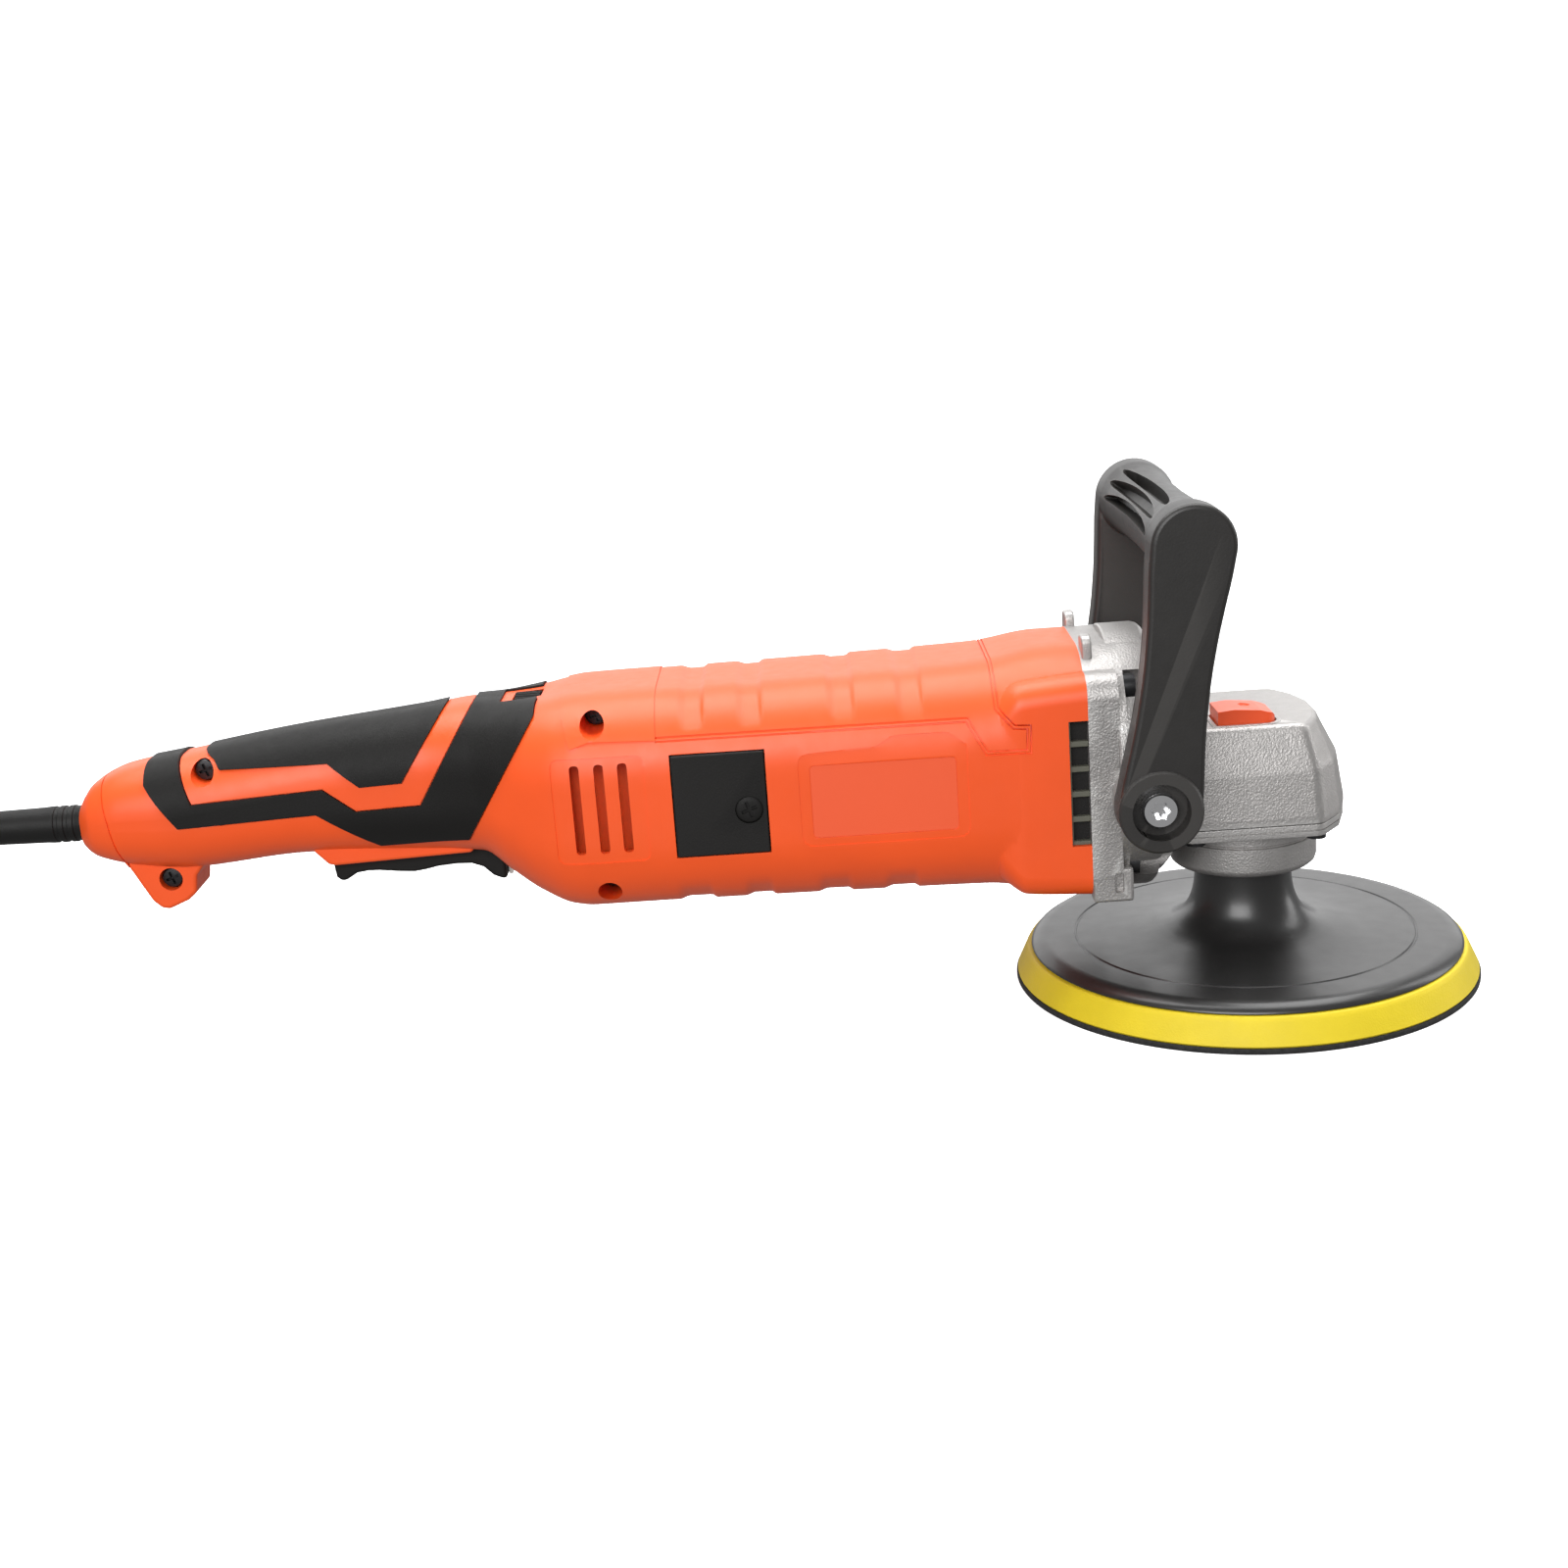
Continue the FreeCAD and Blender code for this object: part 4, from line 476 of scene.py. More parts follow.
ORANGE = (0.93, 0.098, 0.012)
MATERIALS = {
    "orange": material("moulded_orange", ORANGE, 0.42, variation=0.03, grain=2200, grain_depth=0.05),
    "label": material("label_film", (0.90, 0.108, 0.03), 0.5, variation=0.01, grain=900, grain_depth=0.02),
    "button": material("button_orange", (0.9, 0.1, 0.025), 0.34, variation=0.03, grain_depth=0.03),
    "black": material("textured_black", (0.010, 0.0095, 0.009), 0.55, specular=0.2, variation=0.12,
                      grain=2600,
                      grain_depth=0.35, wear=0.2, wear_colour=(0.03, 0.028, 0.027)),
    "handle": material("glass_filled_black", (0.020, 0.0185, 0.0175), 0.42, specular=0.45, variation=0.1,
                       grain=1800,
                       grain_depth=0.18, wear=0.35, wear_colour=(0.09, 0.085, 0.08)),
    "rubber": material("soft_grip_rubber", (0.0095, 0.009, 0.0085), 0.55, specular=0.2, variation=0.1,
                       grain=3200,
                       grain_depth=0.4),
    "aluminium": material("blasted_aluminium", (0.42, 0.405, 0.395), 0.46, metallic=0.8, variation=0.05,
                          blotch=260, grain=1500, grain_depth=0.9, roughness_spread=0.1, wear=0.5,
                          wear_colour=(0.85, 0.84, 0.82)),
    "plate": material("plate_gloss_black", (0.016, 0.0155, 0.0155), 0.34, specular=0.6, variation=0.1,
                      blotch=25, grain=700,
                      grain_depth=0.05, coat=0.15),
    "foam": material("yellow_foam_skin", (0.74, 0.57, 0.012), 0.6, variation=0.05, blotch=60, grain=1800,
                     grain_depth=0.5),
    "loop": material("loop_pile", (0.02, 0.02, 0.02), 0.9, variation=0.4, blotch=900, grain=2600,
                     grain_depth=1.0),
    "steel": material("machined_steel", (0.56, 0.56, 0.57), 0.28, metallic=1.0, grain=900, grain_depth=0.1),
    "zinc": material("bright_zinc", (0.78, 0.78, 0.79), 0.2, metallic=1.0, variation=0.04, grain=800,
                     grain_depth=0.08),
    "black_steel": material("black_oxide", (0.03, 0.03, 0.032), 0.38, metallic=0.6, grain_depth=0.15),
    "bronze": material("sintered_bronze", (0.60, 0.40, 0.20), 0.45, metallic=1.0, grain=1500,
                       grain_depth=0.6),
    "copper": material("enamelled_copper", (0.62, 0.25, 0.10), 0.35, metallic=1.0, grain=1600,
                       grain_depth=0.8),
    "laminations": material("laminated_iron", (0.16, 0.16, 0.17), 0.5, metallic=0.7, grain=1500,
                            grain_depth=0.5),
    "carbon": material("pressed_carbon", (0.03, 0.03, 0.03), 0.7, grain=1500, grain_depth=0.6),
    "grille": material("grey_green_plastic", (0.115, 0.115, 0.088), 0.55, grain=2000, grain_depth=0.2),
    "white": material("translucent_white", (0.78, 0.77, 0.73), 0.4, variation=0.02, grain_depth=0.05),
    "cord": material("cord_sheath", (0.009, 0.0088, 0.0085), 0.5, specular=0.25, variation=0.1,
                     grain=2400, grain_depth=0.3),
}
NODE_MATERIALS = {
    "zinc": ["plate_insert"],
    "steel": ["spindle", "spindle_bearing_inner", "bevel_gear", "pinion", "armature_shaft", "pinion_nut",
              "bearing_outer_rings", "motor_bearing_inner_rings", "bearing_balls", "brush_springs",
              "trigger_pin", "plunger_spring", "lock_pin", "lock_spring"],
    "bronze": ["top_bush", "brush_holders"],
    "laminations": ["armature_core", "stator_core"],
    "copper": ["armature_windings", "commutator", "stator_coils"],
    "grille": ["fan", "fan_baffle", "speed_control"],
    "rubber": ["rear_bearing_sleeve"],
    "black_steel": ["bearing_box_screws", "gear_case_screws", "handle_shell_screws"],
    "carbon": ["carbon_brushes"],
    "black": ["switch_body", "cord_clamp"],
    "white": ["switch_plunger"],
    "cord": ["lead_in_cord"],
}


def paint(obj, name):
    obj.data.materials.clear()
    obj.data.materials.append(MATERIALS[name])
    return obj


for finish, members in NODE_MATERIALS.items():
    for member in members:
        paint(nodes[member], finish)


# ---------------------------------------------------------------- stage, light and camera

def build_stage():
    reach = 9000
    ground = [(-reach, -6000, 0), (reach, -6000, 0), (reach, reach, 0), (-reach, reach, 0)]
    floor = made("floor", ground, [(0, 1, 2, 3)])
    wall = [(-reach, reach, 0), (reach, reach, 0), (reach, reach, reach), (-reach, reach, reach)]
    backdrop = made("backdrop", wall, [(0, 1, 2, 3)])
    # the stage shines by itself: only the backdrop's reflection may reach the object
    backdrop.visible_diffuse = False
    floor.visible_diffuse = False
    floor.visible_glossy = False
    mat = bpy.data.materials.new("pale_floor")
    mat.use_nodes = True
    mat.node_tree.nodes["Principled BSDF"].inputs["Base Color"].default_value = (0.93, 0.93, 0.93, 1)
    mat.node_tree.nodes["Principled BSDF"].inputs["Roughness"].default_value = 0.8
    mat.node_tree.nodes["Principled BSDF"].inputs["Emission Color"].default_value = (1, 1, 1, 1)
    mat.node_tree.nodes["Principled BSDF"].inputs["Emission Strength"].default_value = 0.75
    floor.data.materials.append(mat)
    bright = mat.copy()
    bright.name = "bright_backdrop"
    bright.node_tree.nodes["Principled BSDF"].inputs["Emission Strength"].default_value = 1.25
    backdrop.data.materials.append(bright)
    world = bpy.data.worlds.new("studio")
    world.use_nodes = True
    world.node_tree.nodes["Background"].inputs["Color"].default_value = (1, 1, 1, 1)
    world.node_tree.nodes["Background"].inputs["Strength"].default_value = 0.3
    bpy.context.scene.world = world
    bpy.context.scene.view_settings.view_transform = "Standard"


def softbox(name, at, target, width, height, power):
    """A rectangular light aimed at a point; places in metres."""
    data = bpy.data.lights.new(name, "AREA")
    data.shape = "RECTANGLE"
    data.size = width
    data.size_y = height
    data.energy = power
    light = bpy.data.objects.new(name, data)
    light.location = at
    light.rotation_euler = (Vector(target) - Vector(at)).to_track_quat("-Z", "Y").to_euler()
    bpy.context.scene.collection.objects.link(light)


CAMERA_AT = (-135.7, -658.1, 254.3)
CAMERA_AZIMUTH = math.radians(-1.09)
CAMERA_PITCH = math.radians(15.37)
CAMERA_ROLL = math.radians(4.12)
CAMERA_LENS = 48.26


def build_camera():
    level = Vector((math.cos(CAMERA_AZIMUTH), -math.sin(CAMERA_AZIMUTH), 0))
    forward = Vector((math.sin(CAMERA_AZIMUTH) * math.cos(CAMERA_PITCH),
                      math.cos(CAMERA_AZIMUTH) * math.cos(CAMERA_PITCH), -math.sin(CAMERA_PITCH)))
    upright = level.cross(forward)
    right = level * math.cos(CAMERA_ROLL) - upright * math.sin(CAMERA_ROLL)
    up = right.cross(forward)
    data = bpy.data.cameras.new("camera")
    data.lens = CAMERA_LENS
    data.sensor_width = 36
    camera = bpy.data.objects.new("camera", data)
    turn = Matrix((right, up, -forward)).transposed()
    camera.matrix_world = Matrix.Translation(Vector(CAMERA_AT) * MM) @ turn.to_4x4()
    bpy.context.scene.collection.objects.link(camera)
    bpy.context.scene.camera = camera


build_stage()
softbox("overhead", (-0.15, 0.2, 1.1), (-0.15, 0, 0.05), 1.5, 0.8, 19)
softbox("front_fill", (-0.5, -1.5, 0.7), (-0.15, 0, 0.08), 1.2, 0.8, 22)
softbox("right_edge", (0.9, 0.2, 0.4), (0, 0, 0.08), 0.3, 0.9, 3)
build_camera()


# ---------------------------------------------------------------- cord, coil and plug

CORD_ROUTE = [(-436.0, 0.0, 76.2), (-464.0, 0.5, 74.5), (-490.0, 3.0, 60.5), (-508.5, 6.5, 38.0),
              (-529.0, 9.5, 16.0), (-556.0, 11.5, 4.6), (-584.0, 12.0, 4.2)]
TAIL_ROUTE = [(-640.0, 68.0, 12.4), (-641.5, 86.0, 11.0), (-638.0, 104.0, 9.6)]
CORD_RADIUS = 4.0
COIL_CENTRE = (-584.0, 68.0)
COIL_OUTER = 56.0
COIL_INNER = 32.0
COIL_STEPS = 18


def coil_turns():
    """Three turns inward on the floor, one turn that climbs, three outward on top and a quarter more."""
    points = []
    pitch = CORD_RADIUS * 2
    rows = (COIL_OUTER - COIL_INNER) / pitch
    total = 2 * rows + 1.25
    for step in range(1, int(total * COIL_STEPS)):
        turns = step / COIL_STEPS
        radius = COIL_OUTER - pitch * min(turns, rows) + pitch * min(max(turns - rows - 1, 0), rows)
        climb = min(max((turns - rows - 0.55) / 0.45, 0), 1)
        height = 4.2 + 8.2 * climb * climb * (3 - 2 * climb)
        angle = math.radians(-90) - 2 * math.pi * turns
        forward = COIL_CENTRE[0] + radius * math.cos(angle)
        side = COIL_CENTRE[1] + radius * math.sin(angle)
        points.append((forward, side, height))
    return points


def build_cord():
    route = CORD_ROUTE + coil_turns() + TAIL_ROUTE
    curve = bpy.data.curves.new("power_cord_line", "CURVE")
    curve.dimensions = "3D"
    curve.bevel_depth = CORD_RADIUS * MM
    curve.bevel_resolution = 6
    curve.resolution_u = 6
    curve.use_fill_caps = True
    spline = curve.splines.new("NURBS")
    spline.points.add(len(route) - 1)
    for point, place in zip(spline.points, route):
        point.co = (*(Vector(place) * MM), 1)
    spline.order_u = 3
    spline.use_endpoint_u = True
    cord = bpy.data.objects.new("mains_cord", curve)
    bpy.context.scene.collection.objects.link(cord)
    paint(cord, "cord")
    as_body(cord, "casing", "power_cord", "cord_coil", slot="cord_rubber")
    return cord


def build_plug():
    """A moulded two-blade plug: ribbed neck, shouldered body, blades with a hole each."""
    forward, back, middle = TAIL_ROUTE[-1]
    ribs = [(back, 6.0, 6.0)]
    for index in range(4):
        start = back + 1.5 + index * 3
        for ahead, width, height in ((0, 6.4, 6.2), (1.6, 6.5, 6.3), (1.8, 5.6, 5.4), (2.8, 5.7, 5.5)):
            ribs.append((start + ahead, width + index * 0.6, height + index * 0.5))
    ribs += [(back + 15, 9.5, 8.6), (back + 19, 12.8, 8.9), (back + 35.2, 12.9, 8.9),
             (back + 36, 12.2, 8.2)]
    points = []
    for along, width, height in ribs:
        for side, up in section_ring(width, -height, height, min(width, height) * 0.55, 6, 2):
            points.append((forward + side, along, middle + up))
    count = len(points) // len(ribs)
    faces = [tuple(range(count)), tuple(range(len(points) - count, len(points)))]
    for index in range(len(ribs) - 1):
        for place in range(count):
            following = (place + 1) % count
            faces.append((index * count + place, index * count + following,
                          (index + 1) * count + following, (index + 1) * count + place))
    plug = paint(made("mains_plug", points, faces, 30), "cord")
    as_body(plug, "casing", "plug_body", slot="cord_rubber")
    low, high = node_box("plug_blades")
    blades = []
    for sign in (-1, 1):
        side = forward + sign * 6.35
        outline = filleted([(low.y, low.z), (high.y, low.z), (high.y, high.z), (low.y, high.z)], 1.2, 3)
        blade = prism("blade", outline, side - 0.74, side + 0.74, "YZ")
        hole = rod("hole", 1.6, (side - 2, high.y - 5, middle), (side + 2, high.y - 5, middle), 24)
        blades.append(cut(blade, [hole]))
    blades = paint(bevelled(joined("mains_blades", blades), 0.15), "zinc")
    as_body(blades, "casing", "plug_blades", slot="zinc_steel")
    return plug, blades


def build_guard():
    """The tapered rubber guard around the cord, with grip rings near the casing."""
    mouth = -377.0
    wall_end = node_box("cord_guard")[1].x
    profile = [(CORD_RADIUS + 0.1, GUARD_BACK), (4.7, GUARD_BACK), (5.0, GUARD_BACK + 0.4)]
    ring_count = 3
    profile += [(5.85, mouth - 12)]
    for index in range(ring_count):
        start = mouth - 10 + index * 3.2
        profile += [(6.02, start), (6.02, start + 1.6), (5.7, start + 1.8), (5.7, start + 2.9)]
    profile += [(6.1, mouth + 0.6), (6.3, mouth + 7), (8.9, mouth + 7.2), (8.9, mouth + 11.8),
                (6.3, mouth + 12),
                (6.3, wall_end), (CORD_RADIUS + 0.1, wall_end), (CORD_RADIUS + 0.1, GUARD_BACK)]
    guard = lathe("cord_guard_sleeve", profile, 64, "X", (0, 0, MOTOR_Z), 30)
    paint(guard, "cord")
    as_body(guard, "casing", "cord_guard", slot="cord_rubber")


cord = build_cord()
plug, blades = build_plug()
build_guard()


# ---------------------------------------------------------------- shared shapes of the body

def smooth(share):
    share = min(max(share, 0.0), 1.0)
    return share * share * (3 - 2 * share)


def copied(obj):
    twin = obj.copy()
    twin.data = obj.data.copy()
    bpy.context.scene.collection.objects.link(twin)
    return twin


def grown(outline, distance):
    """A closed outline with every side moved outward, or inward if the distance is negative."""
    points = [Vector(point) for point in outline]
    area = sum(first.cross(second) for first, second in zip(points, points[1:] + points[:1]))
    turn = 1 if area > 0 else -1
    result = []
    for index, point in enumerate(points):
        before = (point - points[index - 1]).normalized()
        after = (points[(index + 1) % len(points)] - point).normalized()
        first = Vector((before.y, -before.x)) * turn
        second = Vector((after.y, -after.x)) * turn
        middle = (first + second).normalized()
        result.append(tuple(point + middle * distance / max(0.35, middle.dot(first))))
    return result


def stacked(name, outlines, smooth_angle=35):
    """A body through plan outlines of equal point counts, each with its height."""
    points = []
    count = len(outlines[0][0])
    for outline, height in outlines:
        points += [(forward, side, height) for forward, side in outline]
    faces = [tuple(range(count)), tuple(range(len(points) - count, len(points)))]
    for index in range(len(outlines) - 1):
        for place in range(count):
            following = (place + 1) % count
            faces.append((index * count + place, index * count + following,
                          (index + 1) * count + following, (index + 1) * count + place))
    return made(name, points, faces, smooth_angle)


def skin_tool(outlines, sections, start, end, depth):
    """Side-view outlines as a cutter that only reaches a depth into a body's skin."""
    tool = joined("skin_tool", [prism("outline", outline, -60, 60) for outline in outlines])
    return cut(tool, [tube_of("core", sections, start, end, 1.0, -depth)])


def cross_drive(name, radius, centre, outward_sign, height, shank_radius, shank_end):
    """A domed cross-head screw along Y, its shank reaching to a side distance."""
    forward, side, up = centre
    profile = [(0, 0), (radius, 0), (radius, height * 0.55), (radius * 0.86, height * 0.9),
               (radius * 0.5, height), (0, height)]
    head = lathe(name, profile, 48, "Y" if outward_sign > 0 else "-Y", centre, 30)
    arm = radius * 0.62
    width = radius * 0.13
    crosses = []
    for turn in (20, 110):
        corners = [(-arm, -width), (arm, -width), (arm, width), (-arm, width)]
        spun = Matrix.Rotation(math.radians(turn), 2)
        outline = [tuple(spun @ Vector(corner) + Vector((forward, up))) for corner in corners]
        crosses.append(prism("cross", outline, side + outward_sign * height * 0.35,
                             side + outward_sign * (height + 1)))
    cut(head, crosses)
    shank = rod("shank", shank_radius, (forward, side + outward_sign * 0.02, up),
                (forward, shank_end, up), 24)
    return fuse(head, [shank])


# ---------------------------------------------------------------- motor housing

FRONT_SECTION = (38.2, 37.7, 116.1, 26)
HOUSING_SECTIONS = [(SEAM_BACK, 37.4, 42.5, 111.3, 23), (-120, 37.7, 41.8, 112.2, 23),
                    (-85, 38, 41.0, 113.2, 24), (-64,) + FRONT_SECTION, (SEAM_FRONT,) + FRONT_SECTION]
BLOCK_SECTIONS = [(-88, 33, 52, 98, 14), (-80, 37.0, 44.5, 106.0, 10), (-74, 38.2, 41.2, 109.0, 7.5),
                  (SEAM_FRONT, 38.2, 39.8, 110.6, 7.5)]
TOP_RECESSES = [(-179.5, -170.5), (-161.5, -152.5), (-133.5, -124), (-112.5, -103)]
RECESS_DEPTH = 1.0
BOTTOM_RECESSES = [(-183.5, -171.5), (-162.5, -152.5), (-139.5, -128), (-118.5, -107)]
SEAM_LINES = [
    [(-190, 100), (-90.2, 100), (-84.7, 89.7), (-72.8, 89.5), (-72.5, 96), (-76.7, 96.3), (-81.8, 101.8),
     (-82.6, 122)],
    [(-190, 98.9), (-90.8, 98.9), (-85.3, 88.6), (-71.7, 88.4), (-71.4, 97.1), (-76.2, 97.4),
     (-80.7, 102.2),
     (-81.5, 122)]]
LABEL = [(-139.5, 65.6), (-94.5, 65.6), (-94.5, 88.8), (-139.5, 88.8)]
LABEL_PANEL = [(-143, 63), (-91, 63), (-91, 92.5), (-97, 96.5), (-113, 96.5), (-119, 93.5), (-143, 92.5)]
VENT = [(-60.0, 57.5), (-54.0, 97.3)]
CAP_SCREW = -158.7


def grip_recesses(forward, side, height):
    """The shallow ribs pressed into the top and bottom of the motor housing."""
    rise = height - MOTOR_Z
    spans = TOP_RECESSES if rise > 0 else BOTTOM_RECESSES
    depth = max(smooth((forward - start) / 3.5) * smooth((end - forward) / 1.6) for start, end in spans)
    depth *= smooth((abs(rise) - 25.5) / 2.5)
    reach = math.hypot(side, rise)
    share = 1 - RECESS_DEPTH * depth / reach
    return side * share, MOTOR_Z + rise * share


def build_motor_housing():
    shell = tube_of("motor_housing_shell", HOUSING_SECTIONS, SEAM_BACK, SEAM_FRONT, 0.7, 0, grip_recesses)
    fuse(shell, [tube_of("front_block", BLOCK_SECTIONS, -88, SEAM_FRONT, 1.0)])
    cavity = [(SEAM_BACK + 3, 34.7, 45.0, 108.8, 20.5), (SEAM_FRONT + 1, 35.0, 44.0, 110.0, 20.5)]
    cap_low, cap_high = node_box("brush_caps")
    tools = [tube_of("cavity", cavity, SEAM_BACK + 3, SEAM_FRONT + 1, 10),
             rod("bearing_hole", 12.5, (SEAM_BACK - 1, 0, MOTOR_Z), (SEAM_BACK + 4, 0, MOTOR_Z))]
    for sign in (-1, 1):
        tools.append(block("cap_pocket", (cap_low.x - 0.3, min(sign * 33, sign * 45), cap_low.z - 0.3),
                           (cap_high.x + 0.3, max(sign * 33, sign * 45), cap_high.z + 0.3)))
        tools.append(block("vent_notch", (VENT[0][0], min(sign * 33, sign * 45), VENT[0][1]),
                           (VENT[1][0] + 1, max(sign * 33, sign * 45), VENT[1][1])))
    cut_each(shell, tools)
    span = (HOUSING_SECTIONS, SEAM_BACK - 6, SEAM_FRONT + 2)
    cut(shell, [skin_tool([ribbon(path, 0.28) for path in SEAM_LINES], *span, 0.55)])
    for outline, rounding, depth in ((LABEL_PANEL, 4, 0.22), (LABEL, 1.6, 0.5)):
        sunk = skin_tool([filleted(outline, rounding)], *span, depth)
        cut(shell, [common(sunk, [block("near", (-200, -60, 0), (0, 0, 150))])])
    bevelled(shell, 0.35, 48)
    as_body(paint(shell, "orange"), "casing", "motor_housing", slot="orange_plastic")

    label = prism("blank_rating_label", filleted(grown(LABEL, -0.15), 1.5), -60, -20)
    common(label, [tube_of("label_face", *span, 1.0, -0.3)])
    cut(label, [tube_of("label_back", *span, 1.0, -0.48)])
    as_body(paint(label, "label"), "casing", slot="orange_plastic")

    grilles = []
    shade_backs = []
    for sign in (-1, 1):
        near, far = sorted((sign * 34.4, sign * 36.6))
        grille = block("grille", (VENT[0][0], near, VENT[0][1]), (VENT[1][0], far, VENT[1][1]))
        gaps = 5
        pitch = (VENT[1][1] - VENT[0][1]) / gaps
        windows = [block("window", (VENT[0][0] + 0.7, near - 1, VENT[0][1] + index * pitch + 1.3),
                         (VENT[1][0] + 1, far + 1, VENT[0][1] + (index + 1) * pitch - 0.5))
                   for index in range(gaps)]
        grilles.append(bevelled(cut(grille, windows), 0.25))
        # black blocks behind the fins: painted shade standing in for the dark depth between the grille fins
        near, far = sorted((sign * 33.6, sign * 34.3))
        shade_backs.append(block("back", (VENT[0][0], near, VENT[0][1]), (VENT[1][0], far, VENT[1][1])))
    as_body(paint(joined("vent_fins", grilles), "grille"), "casing", "vent_grilles", slot="grey_plastic")
    as_body(paint(joined("vent_painted_shade", shade_backs), "black"), "casing", slot="grey_plastic")

    caps = []
    screws = []
    for sign in (-1, 1):
        near, far = sorted((sign * 34.7, sign * 37.5))
        cap = block("cap", (cap_low.x, near, cap_low.z), (cap_high.x, far, cap_high.z))
        bevelled(cap, 0.45, 40, 3)
        seat = rod("seat", 4.35, (CAP_SCREW, sign * 36.2, MOTOR_Z), (CAP_SCREW, sign * 40, MOTOR_Z), 48)
        cut(cap, [seat])
        caps.append(cap)
        middle = (CAP_SCREW, sign * 36.25, MOTOR_Z)
        screws.append(cross_drive("cap_screw", 4.15, middle, sign, 1.2, 1.5, sign * 34.8))
    as_body(paint(joined("brush_covers", caps), "black"), "casing", "brush_caps", slot="black_plastic")
    as_body(paint(joined("brush_cover_screws", screws), "black"), "casing", "brush_cap_screws",
            slot="black_plastic")


# ---------------------------------------------------------------- rear handle

HANDLE_SECTIONS = [
    (-375.5, 8.5, 69.0, 83.0, 5.5), (-373.5, 11.5, 67.0, 86.3, 8.5), (-370.0, 15, 65.3, 90.2, 11.5),
    (-360.0, 17.6, 62.6, 94.4, 14.0), (-341.0, 18.8, 60.2, 97.4, 16.0), (-304.0, 19.2, 62.6, 102.7, 16.5),
    (-262.0, 20.2, 61.0, 106.9, 17.0), (-246.0, 23.5, 60.0, 108.6, 19.0), (-236.0, 28.0, 53.0, 108.4, 21.0),
    (-227.0, 32.5, 47.3, 108.9, 22.0), (-217.0, 36.4, 43.2, 110.3, 23.0), (-210.0, 37.4, 42.5, 111.0, 23.0),
    (SEAM_BACK, 37.4, 42.5, 111.3, 23.0)]
HANDLE_SPAN = (HANDLE_SECTIONS, -375.5, SEAM_BACK)
HANDLE_CUT_SPAN = (HANDLE_SECTIONS, -385, SEAM_BACK + 4)
HOOK = [(-366, 68), (-361, 61), (-358, 55), (-355.6, 50.4), (-353, 47.9), (-350.5, 47.4), (-344, 50.0),
        (-341, 52.5), (-340.2, 58.0), (-337.5, 61.5), (-334, 66), (-350, 70)]
GUARD_BLOCK = [(-301.4, 66), (-301.2, 64.6), (-296.6, 59.6), (-294.5, 59.0), (-250, 60.4), (-246, 66)]
SHELL_SCREWS = [(-205.3, 104.5, 14), (-204.3, 51.0, 14), (-331.8, 93.6, 8), (-348.6, 57.6, 5)]
TRIGGER_ROOM = [(-299.5, 48), (-236.6, 48), (-236.6, 58), (-233.5, 62), (-233.5, 70), (-299.5, 70)]
UPPER_GRIP = [(-333.8, 120), (-251.5, 120), (-251.5, 112.6), (-268, 87.6), (-281.5, 87), (-291.1, 95),
              (-326, 94.6), (-328.1, 97.3), (-331.6, 99.1), (-334.2, 100.3)]
BAND = [(-343.5, 120), (-342.2, 101.1), (-335.6, 84.5), (-293.5, 86.8), (-283.5, 79), (-262.8, 79.8),
        (-242.4, 113.2), (-241.5, 120), (-224.2, 120), (-224.2, 106.9), (-248.9, 67.2), (-277.9, 65.9),
        (-296.4, 78.9), (-340.8, 77.1), (-350.9, 91.1), (-351.8, 99.2), (-352.5, 120)]
REAR_PANEL = [(-217.4, 125), (-216.8, 112), (-214.5, 105.3), (-212.5, 98.3), (-206.3, 100.1),
              (SEAM_BACK + 3, 99.3),
              (SEAM_BACK + 3, 125)]
SLOT_PANEL = [(-219, 62), (-190, 62), (-190, 95.5), (-219, 95.5)]
SLOTS = (-211.5, -204.0, -196.7)
COLLAR_LINE = [(-368.5, 99), (-366.4, 94.1), (-363.6, 80), (-361.9, 68.2), (-361.2, 58)]


